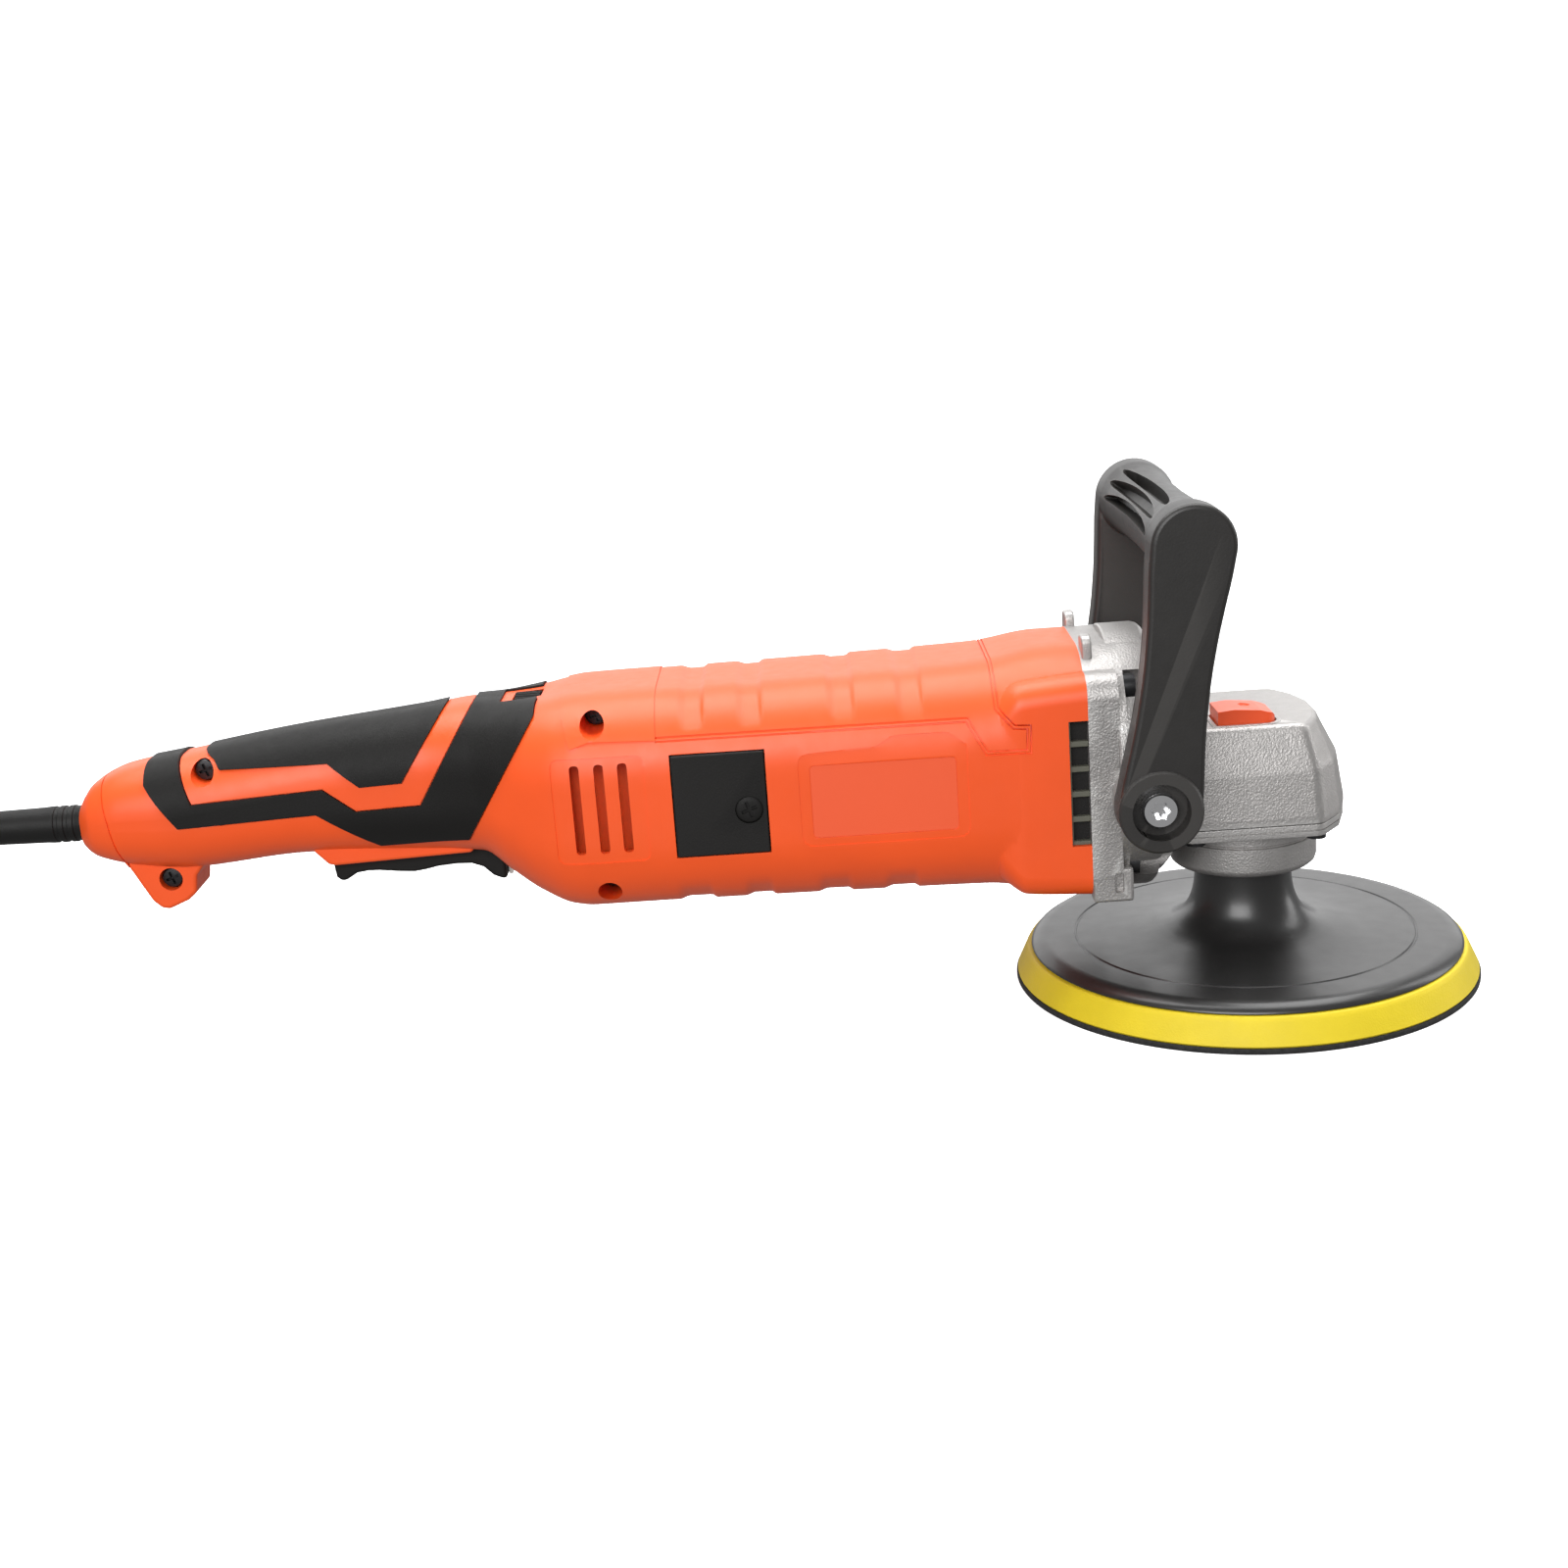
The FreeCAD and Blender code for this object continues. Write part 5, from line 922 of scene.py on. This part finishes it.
def build_handle_shells():
    dial_low, dial_high = node_box("speed_dial")
    dial_middle = dial_low.x + 4
    dial_z = (dial_low.z + dial_high.z) / 2
    dial_radius = (dial_high.z - dial_low.z) / 2
    outer = tube_of("handle", *HANDLE_SPAN, 1.0)
    hook = bevelled(prism("hook", filleted(HOOK, 2.2, 4), -9, 9), 2.4, 50, 4)
    guard_block = bevelled(prism("guard_block", GUARD_BLOCK, -11, 11), 1.2, 40, 3)
    solid = fuse(fuse(outer, [hook]), [guard_block])
    raised = common(prism("raised_panel", REAR_PANEL, -60, 60), [tube_of("raised", *HANDLE_SPAN, 1.0, 0.4)])
    fuse(solid, [raised])
    bosses = [rod("boss", 5.2, (forward, -40, height), (forward, 40, height))
              for forward, height, _ in SHELL_SCREWS]
    bosses = common(joined("bosses", bosses), [copied(solid)])
    cut(solid, [tube_of("cavity", HANDLE_SECTIONS, -361, SEAM_BACK + 3, 2.0, -2.7)])
    fuse(solid, [bosses])
    liners = [block("liner", (-221, min(sign * 24, sign * 26), 46), (-190, max(sign * 24, sign * 26), 107))
              for sign in (-1, 1)]
    fuse(solid, [common(joined("liners", liners), [tube_of("inside", *HANDLE_SPAN, 2.0, -1.0)])])
    tools = [rod("guard_exit", 6.6, (-380, 0, MOTOR_Z), (-360, 0, MOTOR_Z)),
             rod("guard_groove", 9.1, (-370.1, 0, MOTOR_Z), (-364.9, 0, MOTOR_Z)),
             block("dial_window", (dial_middle - 4.7, -5.2, dial_z), (dial_middle + 4.7, 5.2, 125)),
             rod("dial_room", dial_radius + 0.6, (dial_middle - 4.7, 0, dial_z),
                 (dial_middle + 4.7, 0, dial_z)),
             prism("trigger_room", TRIGGER_ROOM, -7.1, 7.1)]
    for middle in SLOTS:
        back, front = middle - 1.5, middle + 1.5
        outline = filleted([(back, 65), (front, 65), (front, 93.4), (back, 93.4)], 1.3)
        tools += [prism("slot", outline, -45, -30), prism("slot", outline, 30, 45)]
    for forward, height, depth in SHELL_SCREWS:
        tools.append(rod("screw_hole", 3.8, (forward, -45, height), (forward, -depth, height), 48))
    cut_each(solid, tools)
    cut(solid, [skin_tool([filleted(SLOT_PANEL, 3)], *HANDLE_CUT_SPAN, 0.25)])
    cut(solid, [skin_tool([ribbon(COLLAR_LINE, 0.25)], *HANDLE_CUT_SPAN, 0.45)])
    grip_gap = [grown(UPPER_GRIP, 0.3), grown(BAND, 0.3)]
    frame_room = (dial_middle - 8.2, -8.6, 98), (dial_middle + 12, 8.6, 125)
    pocket = skin_tool(grip_gap, *HANDLE_CUT_SPAN, 0.6)
    cut(pocket, [block("dial_frame", *frame_room)])
    cut(solid, [pocket])
    ribs = [block("rib", (start, -9, 42.6), (start + 2, 9, 48)) for start in (-221.5, -217.3, -213.1)]
    fuse(solid, [joined("ribs", ribs)])
    for node, low, high in (("handle_shell_left", 0.04, 60), ("handle_shell_right", -60, -0.04)):
        half = common(copied(solid), [block("half", (-400, low, 20), (-180, high, 130))])
        half.name = node.replace("handle", "moulded")
        bevelled(half, 0.3, 48)
        as_body(paint(half, "orange"), "casing", node, slot="orange_plastic")
    bpy.data.objects.remove(solid)

    skin = tube_of("grip_skin", *HANDLE_SPAN, 1.0, 0.75)
    cut(skin, [tube_of("grip_core", *HANDLE_CUT_SPAN, 1.0, -0.5)])
    patches = joined("patches", [prism("patch", UPPER_GRIP, -60, 60), prism("patch", BAND, -60, 60)])
    common(skin, [patches])
    openings = [block("frame", *frame_room), prism("trigger_room", TRIGGER_ROOM, -7.1, 7.1)]
    for forward, height, depth in SHELL_SCREWS:
        openings.append(rod("screw_hole", 4.3, (forward, -45, height), (forward, -depth, height), 48))
    for opening in openings:
        cut(skin, [opening])
    for node, low, high in (("soft_grip_left", 0.05, 60), ("soft_grip_right", -60, -0.05)):
        half = common(copied(skin), [block("half", (-400, low, 20), (-180, high, 130))])
        half.name = node.replace("soft", "rubber")
        bevelled(half, 0.35, 48)
        as_body(paint(half, "rubber"), "casing", node, slot="soft_rubber")
    bpy.data.objects.remove(skin)


def build_shell_screws():
    screws = []
    for forward, height, depth in SHELL_SCREWS:
        screws.append(cross_drive("shell_screw", 3.5, (forward, -depth - 0.02, height), -1, 2.4, 1.95, 6))
    clamp_low, clamp_high = node_box("cord_clamp")
    middle = (clamp_low.x + clamp_high.x) / 2
    for side in (-7.2, 7.2):
        screws.append(fuse(rod("clamp_head", 2.6, (middle, side, 85), (middle, side, 87), 32, 0.3),
                           [rod("clamp_shank", 1.25, (middle, side, 65), (middle, side, 85.2), 24)]))
    as_body(paint(joined("closing_screws", screws), "black_steel"), "casing", "handle_shell_screws",
            slot="black_steel")


# ---------------------------------------------------------------- trigger, tab and dial

PADDLE = [(-296.2, 60), (-295.9, 56), (-295.6, 53.8), (-294.0, 52.2), (-292.2, 52.6), (-288.8, 54.6),
          (-285, 55.1),
          (-281.5, 55.0), (-275, 54.2), (-270, 53.8), (-266, 54.3), (-262, 55.1), (-256, 55.5),
          (-251.2, 55.3),
          (-247.6, 53.9), (-244.5, 50.8), (-242, 49.7), (-240.2, 49.4), (-240.3, 56), (-243, 60.4),
          (-250, 63.6),
          (-284, 64.6), (-287, 67.5), (-296, 67.5)]
TAB = [(-240.2, 56.5), (-240.0, 49.8), (-238.9, 49.6), (-237.4, 54.5), (-238.4, 60), (-242.6, 60)]


def build_controls():
    trigger = bevelled(prism("squeeze_trigger", PADDLE, -6.5, 6.5), 1.0, 50, 3)
    pin_low, pin_high = node_box("trigger_pin")
    pin_x = (pin_low.x + pin_high.x) / 2
    pin_z = (pin_low.z + pin_high.z) / 2
    cut(trigger, [rod("pin_hole", 1.55, (pin_x, -12, pin_z), (pin_x, 12, pin_z), 24)])
    as_body(paint(trigger, "black"), "trigger", "trigger", slot="black_plastic")
    tab = bevelled(prism("lock_off_sliver", TAB, -2, 2), 0.25)
    as_body(paint(tab, "white"), "trigger", "lock_off_tab", slot="white_plastic")

    low, high = node_box("speed_dial")
    centre_z = (low.z + high.z) / 2
    radius = (high.z - low.z) / 2
    rim = []
    notches = 44
    for index in range(notches * 4):
        turn = 2 * math.pi * index / (notches * 4)
        reach = radius - (0.45 if index % 4 < 2 else 0.0)
        rim.append((reach * math.cos(turn), centre_z + reach * math.sin(turn)))
    wheel = bevelled(prism("speed_wheel", rim, low.x, low.x + 8, "YZ"), 0.15, 60)
    fuse(wheel, [rod("axle", 2.5, (low.x + 7, 0, centre_z), (high.x, 0, centre_z), 32)])
    as_body(paint(wheel, "black"), "speed_dial", "speed_dial", slot="black_plastic")


# each spring's node and joint, how far it shortens, and 1 where its top stays seated or -1 for its foot
SPRINGS = [("lock_spring", "lock_press", 4.0, -1), ("plunger_spring", "switch_travel", 3.8, 1)]


def build_springs():
    """Copies of the two return springs, put on the casing in place of their CAD nodes."""
    for node, joint, travel, towards in SPRINGS:
        mesh = nodes[node].data.copy()
        mesh.transform(nodes[node].matrix_world)
        spring = bpy.data.objects.new("return_" + node, mesh)
        bpy.context.scene.collection.objects.link(spring)
        as_body(paint(spring, "steel"), "casing", node, slot="steel")
        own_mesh(spring)


build_motor_housing()
build_handle_shells()
build_shell_screws()
build_controls()
build_springs()


# ---------------------------------------------------------------- gear head

HEAD_FOOT = [(-25, -31), (19, -31), (26.5, -21), (31, -8), (31, 8), (26.5, 21), (19, 31), (-25, 31)]
HEAD_WAIST = [(-25, -29.3), (18, -29.3), (25, -19.5), (28.9, -7.5), (28.9, 7.5), (25, 19.5), (18, 29.3),
              (-25, 29.3)]
HEAD_TOP = [(-25, -26), (15.5, -26), (20.5, -17), (23, -6.5), (23, 6.5), (20.5, 17), (15.5, 26), (-25, 26)]
CASE_TOP = 88.5
CASE_SCREWS = [(side, MOTOR_Z + up) for side in (-28.5, 28.5) for up in (-27.5, 28.8)]
BOX_SCREWS = [(forward, side) for forward in (-19, 19) for side in (-21, 21)]
FLANGE_FRONT = -42.0
FLANGE_BLOCK = [(SEAM_FRONT, 38.2, 39.8, 110.6, 7.5), (FLANGE_FRONT, 38.2, 39.8, 110.6, 7.5)]


def build_gear_case():
    rounding = 4.5
    outlines = [(filleted(HEAD_FOOT, rounding), CASE_BOTTOM + 0.2), (filleted(HEAD_FOOT, rounding), 60.0),
                (filleted(HEAD_WAIST, rounding), 73.6), (filleted(grown(HEAD_WAIST, -0.35), rounding),
                                                         75.2),
                (filleted(grown(HEAD_TOP, 0.25), rounding), 85.9),
                (filleted(grown(HEAD_TOP, -0.25), rounding), 87.2),
                (filleted(grown(HEAD_TOP, -0.9), rounding), 88.1),
                (filleted(grown(HEAD_TOP, -1.9), rounding), CASE_TOP)]
    head = stacked("cast_gear_case", outlines, 30)
    barrel = [(0, -45), (42.0, -45), (42.4, -44.5), (42.4, -34.0), (42.0, -32.6), (41.2, -31.7),
              (40.0, -31.3),
              (38.4, -31.2), (0, -31.2)]
    neck = [(-33, 40.2, 36.5, 115.8, 39.4), (-30, 38.6, 38.6, 112.6, 36), (-27.5, 36.2, 43, 106, 29),
            (-24, 32.4, 51, 96.5, 17), (-19, 28.8, CASE_BOTTOM + 0.4, CASE_TOP - 0.6, 6)]
    parts = [tube_of("flange", [(SEAM_FRONT,) + FRONT_SECTION, (FLANGE_FRONT,) + FRONT_SECTION],
                     SEAM_FRONT, FLANGE_FRONT, 12),
             tube_of("flange_block", FLANGE_BLOCK, SEAM_FRONT, FLANGE_FRONT - 2.5, 10),
             lathe("barrel", barrel, 160, "X", (0, 0, MOTOR_Z), 40),
             tube_of("neck", neck, -33, -19, 1.0)]
    for side in (-20, 20):
        outline = [(side - 4, 104), (side + 4, 104)] + arc_points((side + 1.5, 117.7), 2.5, 0, 90, 5)
        outline += arc_points((side - 1.5, 117.7), 2.5, 90, 180, 5)
        parts.append(bevelled(prism("lug", outline, -53.5, -50.3, "YZ"), 0.7, 50, 3))
    parts.append(bevelled(block("small_post", (-50.6, -24, 104), (-47.4, -19.5, 113.4)), 0.9, 50, 3))
    parts.append(bevelled(block("foot", (-53.9, -38.1, 38.6), (-41.4, -30, 49.5)), 1.0, 50, 3))
    parts.append(bevelled(block("foot", (-53.9, 30, 38.6), (-41.4, 38.1, 49.5)), 1.0, 50, 3))
    for sign in (-1, 1):
        parts.append(rod("pivot_boss", 12, (ARM_PIVOT[0], sign * 24, ARM_PIVOT[1]),
                         (ARM_PIVOT[0], sign * 44.5, ARM_PIVOT[1]), 64, 0.6))
    for part in parts:
        fuse(head, [part])
    rooms = [rod("fan_room", 33.5, (-60, 0, MOTOR_Z), (-46, 0, MOTOR_Z), 96),
             rod("bearing_seat", 15, (-47, 0, MOTOR_Z), (-34, 0, MOTOR_Z), 64),
             rod("pinion_room", 9.5, (-35, 0, MOTOR_Z), (-15, 0, MOTOR_Z), 48),
             rod("gear_room", 27.8, (0, 0, 50), (0, 0, 73), 96),
             rod("top_room", 23.5, (0, 0, 72.5), (0, 0, CASE_TOP - 3.3), 96),
             block("below", (-25.3, -50, 30), (60, 50, CASE_BOTTOM + 0.2))]
    for room in rooms:
        cut(head, [room])
    bush_boss = cut(rod("bush_boss", 7.5, (0, 0, 72.5), (0, 0, CASE_TOP - 1), 48),
                    [rod("bush_seat", 6.0, (0, 0, 70), (0, 0, 84), 48)])
    shelf = block("shelf", (-8.3, -28, 75.5), (3.7, -8, 77.5))
    common(shelf, [rod("shelf_edge", 24.5, (0, 0, 70), (0, 0, 90), 64)])
    fuse(head, [bush_boss])
    fuse(head, [shelf])
    button_low, button_high = node_box("lock_button")
    gap = 0.55
    room = prism("button_room", button_outline(button_low, button_high, gap), 78, 95, "XY")
    cut(room, [rod("keep_boss", 7.5, (0, 0, 70), (0, 0, 100), 48)])
    rim_outline = button_outline(button_low, button_high, gap + 1.3)
    rim = prism("button_rim", rim_outline, CASE_TOP - 2, CASE_TOP + 0.35, "XY")
    fuse(head, [bevelled(rim, 0.3, 50)])
    cut(head, [room])
    pin_low, pin_high = node_box("lock_pin")
    pin = ((pin_low.x + pin_high.x) / 2, (pin_low.y + pin_high.y) / 2)
    tools = [rod("pin_room", 2.08, (*pin, 70), (*pin, 80), 32)]
    for sign in (-1, 1):
        tools.append(rod("bolt_hole", 4.05, (ARM_PIVOT[0], sign * 32.5, ARM_PIVOT[1]),
                         (ARM_PIVOT[0], sign * 60, ARM_PIVOT[1]), 40))
        slot = filleted([(-47.4, 41.5), (-44.4, 41.5), (-44.4, 48.2), (-47.4, 48.2)], 1.4)
        near, far = sorted((sign * 35.5, sign * 42))
        tools.append(prism("foot_slot", slot, near, far))
    for side, height in CASE_SCREWS:
        tools.append(rod("counterbore", 5.2, (FLANGE_FRONT, side, height), (-20, side, height), 48))
        tools.append(rod("screw_hole", 2.1, (-60, side, height), (FLANGE_FRONT + 1, side, height), 24))
    for forward, side in BOX_SCREWS:
        tools.append(rod("box_screw_hole", 1.6, (forward, side, 50), (forward, side, 64.5), 24))
    cut_each(head, tools)
    bevelled(head, 0.45, 42, 3)
    as_body(paint(head, "aluminium"), "casing", "gear_case", slot="cast_aluminium")


def button_outline(low, high, margin):
    """The lock button's outline from above, its front corners well rounded."""
    corners = [(low.x - margin, low.y - margin), (high.x + margin, low.y - margin),
               (high.x + margin, high.y + margin), (low.x - margin, high.y + margin)]
    points = [corners[0]]
    radius = 4.0 + margin
    points += arc_points((corners[1][0] - radius, corners[1][1] + radius), radius, -90, 0, 8)
    points += arc_points((corners[2][0] - radius, corners[2][1] - radius), radius, 0, 90, 8)
    return points + [corners[3]]


def build_bearing_box():
    plate = prism("bearing_plate", filleted(grown(HEAD_FOOT, -0.2), 4.5), 53.4, CASE_BOTTOM - 0.15, "XY")
    bevelled(plate, 0.35, 50)
    line = cut(prism("line", filleted(grown(HEAD_FOOT, 2), 4.5), 55.2, 55.6, "XY"),
               [prism("core", filleted(grown(HEAD_FOOT, -0.6), 4.5), 50, 60, "XY")])
    cut(plate, [line])
    profile = [(9.8, BOX_BOTTOM), (20.6, BOX_BOTTOM), (22.2, BOX_BOTTOM + 0.5), (23.1, BOX_BOTTOM + 1.3),
               (23.5, BOX_BOTTOM + 2.6), (23.5, 47.8), (23.0, 48.05), (23.0, 48.5), (23.3, 48.8),
               (23.3, 53.3),
               (22.0, 55.0), (16.0, 55.0), (16.0, 44.0), (9.8, 44.0), (9.8, BOX_BOTTOM)]
    cup = lathe("bearing_cup", profile, 128)
    cut(plate, [rod("seat", 16, (0, 0, 44), (0, 0, 62), 96)])
    fuse(plate, [cup])
    for forward, side in BOX_SCREWS:
        cut(plate, [rod("screw_hole", 1.7, (forward, side, 50), (forward, side, 60), 24)])
    plate.name = "cast_bearing_box"
    as_body(paint(plate, "aluminium"), "casing", "bearing_box", slot="cast_aluminium")


def build_lock_button():
    low, high = node_box("lock_button")
    side_view = [(low.x, low.z), (high.x, low.z), (high.x, high.z - 3.4), (high.x - 1.2, high.z - 1.9),
                 (high.x - 5, high.z - 0.7), (high.x - 11, high.z - 0.15), (low.x + 5, high.z),
                 (low.x, high.z - 0.5)]
    button = prism("spindle_lock_button", side_view, low.y - 1, high.y + 1)
    common(button, [prism("plan", button_outline(low, high, 0), low.z - 1, high.z + 1, "XY")])
    cut(button, [rod("bush_clearance", 8.0, (0, 0, 60), (0, 0, 100), 64)])
    dimple = lathe("dimple", [(0, -2.5), (1.2, -2.3), (2.0, -1.5), (2.5, 0), (2.5, 3), (0, 3)], 32, "Z",
                   (-1.8, (low.y + high.y) / 2 + 1.0, high.z + 1.2))
    cut(button, [dimple])
    bevelled(button, 0.7, 50, 3)
    as_body(paint(button, "button"), "spindle_lock", "lock_button", slot="orange_plastic")


# ---------------------------------------------------------------- front handle

ARM_WIDTHS = [(0, 12.6), (9, 12.0), (17, 11.2), (28, 10.4), (40, 10.1), (52, 10.5), (64, 11.5), (72, 12.3),
              (ARM_LENGTH, 12.7)]
GRIP_RADII = [(-47, 12.7), (-44.5, 12.5), (-41, 11.9), (-34, 11.4), (-24, 11.0), (0, 10.7), (24, 11.0),
              (34, 11.4), (41, 11.9), (44.5, 12.5), (47, 12.7)]
LOUVRES = [(106, 4.4), (134, 4.6), (160, 3.8)]


def arm_spot(along, across):
    """A side-view point at a distance up the arm from its pivot and forward of its middle line."""
    return (ARM_PIVOT[0] + along * math.sin(ARM_LEAN) + across * math.cos(ARM_LEAN),
            ARM_PIVOT[1] + along * math.cos(ARM_LEAN) - across * math.sin(ARM_LEAN))


def arm_outline():
    points = []
    foot = arc_points((0, 0), ARM_WIDTHS[0][1], 180, 360, 24)
    points += [arm_spot(up, forward) for forward, up in foot]
    steps = 30
    for step in range(1, steps):
        along = ARM_LENGTH * step / steps
        points.append(arm_spot(along, curve_value(ARM_WIDTHS, along)))
    top = arc_points((0, 0), ARM_WIDTHS[-1][1], 0, 180, 24)
    points += [arm_spot(ARM_LENGTH + up, forward) for forward, up in top]
    for step in range(steps - 1, 0, -1):
        along = ARM_LENGTH * step / steps
        points.append(arm_spot(along, -curve_value(ARM_WIDTHS, along)))
    return points


def louvre(name, middle, angle, width):
    """A crescent-shaped slot along the grip, following its waist."""
    reach = 41.0
    steps = 32
    points = []
    for step in range(steps + 1):
        side = -reach + 2 * reach * step / steps
        share = 1 - (side / reach) ** 2
        surface = curve_value(GRIP_RADII, side)
        centre = math.radians(angle + 9 * (1 - share))
        half = (width * (0.1 + 0.9 * math.sqrt(share)) / 2) / surface
        for turn, radius in ((centre - half, surface - 4.5), (centre + half, surface - 4.5),
                             (centre + half, surface + 2), (centre - half, surface + 2)):
            points.append((middle[0] + radius * math.cos(turn), side, middle[1] + radius * math.sin(turn)))
    faces = [(0, 1, 2, 3), tuple(range(len(points) - 4, len(points)))]
    for step in range(steps):
        for place in range(4):
            following = (place + 1) % 4
            here, ahead = step * 4, (step + 1) * 4
            faces.append((here + place, here + following, ahead + following, ahead + place))
    return made(name, points, faces)


def build_front_handle():
    outline = arm_outline()
    top = arm_spot(ARM_LENGTH, 0)
    profile = [(0, -47)] + [(radius, side) for side, radius in GRIP_RADII] + [(0, 47)]
    handle = lathe("front_d_handle", profile, 96, "Y", (top[0], 0, top[1]), 40)
    for sign in (-1, 1):
        near, far = sorted((sign * ARM_INNER, sign * (ARM_OUTER - 1.0)))
        arm = bevelled(prism("arm", outline, near, far), 1.5, 50, 4)
        fuse(handle, [arm])
        ring = rod("boss_ring", 12.75, (ARM_PIVOT[0], sign * (ARM_INNER + 1), ARM_PIVOT[1]),
                   (ARM_PIVOT[0], sign * ARM_OUTER, ARM_PIVOT[1]), 96, 0.7)
        fuse(handle, [ring])
    tools = []
    for sign in (-1, 1):
        tools.append(rod("recess", 8.75, (ARM_PIVOT[0], sign * (ARM_OUTER - 6.5), ARM_PIVOT[1]),
                         (ARM_PIVOT[0], sign * (ARM_OUTER + 2), ARM_PIVOT[1]), 72))
        tools.append(rod("bolt_hole", 4.06, (ARM_PIVOT[0], sign * 40, ARM_PIVOT[1]),
                         (ARM_PIVOT[0], sign * (ARM_OUTER + 2), ARM_PIVOT[1]), 40))
        rear_edge = [arm_spot(along, -curve_value(ARM_WIDTHS, along)) for along in (26, 34, 42, 50, 58,
                                                                                    66, 74)]
        for side in (47.8, 55.2):
            near, far = sorted((sign * side, sign * (side + 0.5)))
            tools.append(prism("mould_line", ribbon(rear_edge, 0.5), near, far))
    for angle, width in LOUVRES:
        tools.append(louvre("louvre", top, angle, width))
    cut_each(handle, tools)
    bevelled(handle, 0.35, 55)
    as_body(paint(handle, "handle"), "front_handle", "d_handle", slot="handle_plastic")

    bolts = []
    washers = []
    for sign in (-1, 1):
        seat = ARM_OUTER - 6.5
        axis = "Y" if sign > 0 else "-Y"
        profile = [(0, -18.4), (4.0, -18.4), (4.0, 0), (5.2, 0), (5.5, 0.3), (5.5, 3.9), (4.9, 4.5),
                   (0, 4.5)]
        bolt = lathe("bolt", profile, 64, axis, (ARM_PIVOT[0], sign * (seat + 0.05), ARM_PIVOT[1]), 30)
        star = []
        for index in range(24):
            reach = 2.55 + 0.42 * math.cos(math.radians(90 * index))
            turn = math.radians(15 * index)
            star.append((ARM_PIVOT[0] + reach * math.cos(turn), ARM_PIVOT[1] + reach * math.sin(turn)))
        near, far = sorted((sign * (seat + 1.6), sign * (seat + 6)))
        cut(bolt, [prism("star", star, near, far)])
        bolts.append(bevelled(bolt, 0.15, 50))
        inner_face = ARM_INNER - 0.05
        section = [(4.3, 0), (8.8, 0), (9.0, 0.15), (9.0, 0.75), (8.8, 0.9), (4.3, 0.9), (4.3, 0)]
        middle = (ARM_PIVOT[0], sign * (inner_face - 0.9), ARM_PIVOT[1])
        washers.append(lathe("washer", section, 64, axis, middle))
    as_body(paint(joined("pivot_bolts", bolts), "zinc"), "casing", "handle_bolts", slot="zinc_steel")
    as_body(paint(joined("pivot_washers", washers), "zinc"), "casing", "handle_washers", slot="zinc_steel")


# ---------------------------------------------------------------- pad and backing plate

def build_pad():
    loop = lathe("loop_layer", [(0, 0), (PAD_RADIUS - 0.3, 0), (PAD_RADIUS, 0.4), (PAD_RADIUS, 1.4),
                                (PAD_RADIUS - 0.3, FOAM_BOTTOM), (0, FOAM_BOTTOM)], 192)
    as_body(paint(loop, "loop"), "spindle", "loop_sheet", slot="hook_loop")
    foam_profile = [(0, FOAM_BOTTOM + 0.02), (PAD_RADIUS - 0.9, FOAM_BOTTOM + 0.02),
                    (PAD_RADIUS - 0.45, FOAM_BOTTOM + 0.6),
                    (73.2, 5.4), (71.6, 8.9), (70.9, FOAM_TOP - 0.4), (70.3, FOAM_TOP), (0, FOAM_TOP)]
    foam = lathe("foam_ring", foam_profile, 192, smooth_angle=60)
    as_body(paint(foam, "foam"), "spindle", "foam_pad", slot="yellow_foam")
    insert_low, insert_high = node_box("plate_insert")
    insert_radius = insert_high.x
    plate = [(0, FOAM_TOP + 0.02), (69.2, FOAM_TOP + 0.02), (69.7, FOAM_TOP + 0.4), (69.6, 11.4),
             (68.9, 12.3), (67.5, 13.2),
             (66.0, 13.65), (64.5, 13.75), (55.6, 13.92), (55.2, 13.6), (54.8, 13.6), (54.4, 13.96),
             (46, 14.2),
             (38, 14.7), (31, 15.6), (26.5, 16.3), (23.2, 17.8), (20.9, 19.6), (19.2, 21.4), (18.0, 23.2),
             (17.1, 25.2), (16.4, 27.4), (15.9, 30), (15.6, 33), (15.5, PLATE_TOP - 0.3), (15.2, PLATE_TOP),
             (insert_radius, PLATE_TOP), (insert_radius, insert_low.z), (0, insert_low.z)]
    disc = lathe("moulded_backing_plate", plate, 192, smooth_angle=40)
    as_body(paint(disc, "plate"), "spindle", "backing_plate", slot="gloss_black")


build_gear_case()
build_bearing_box()
build_lock_button()
build_front_handle()
build_pad()
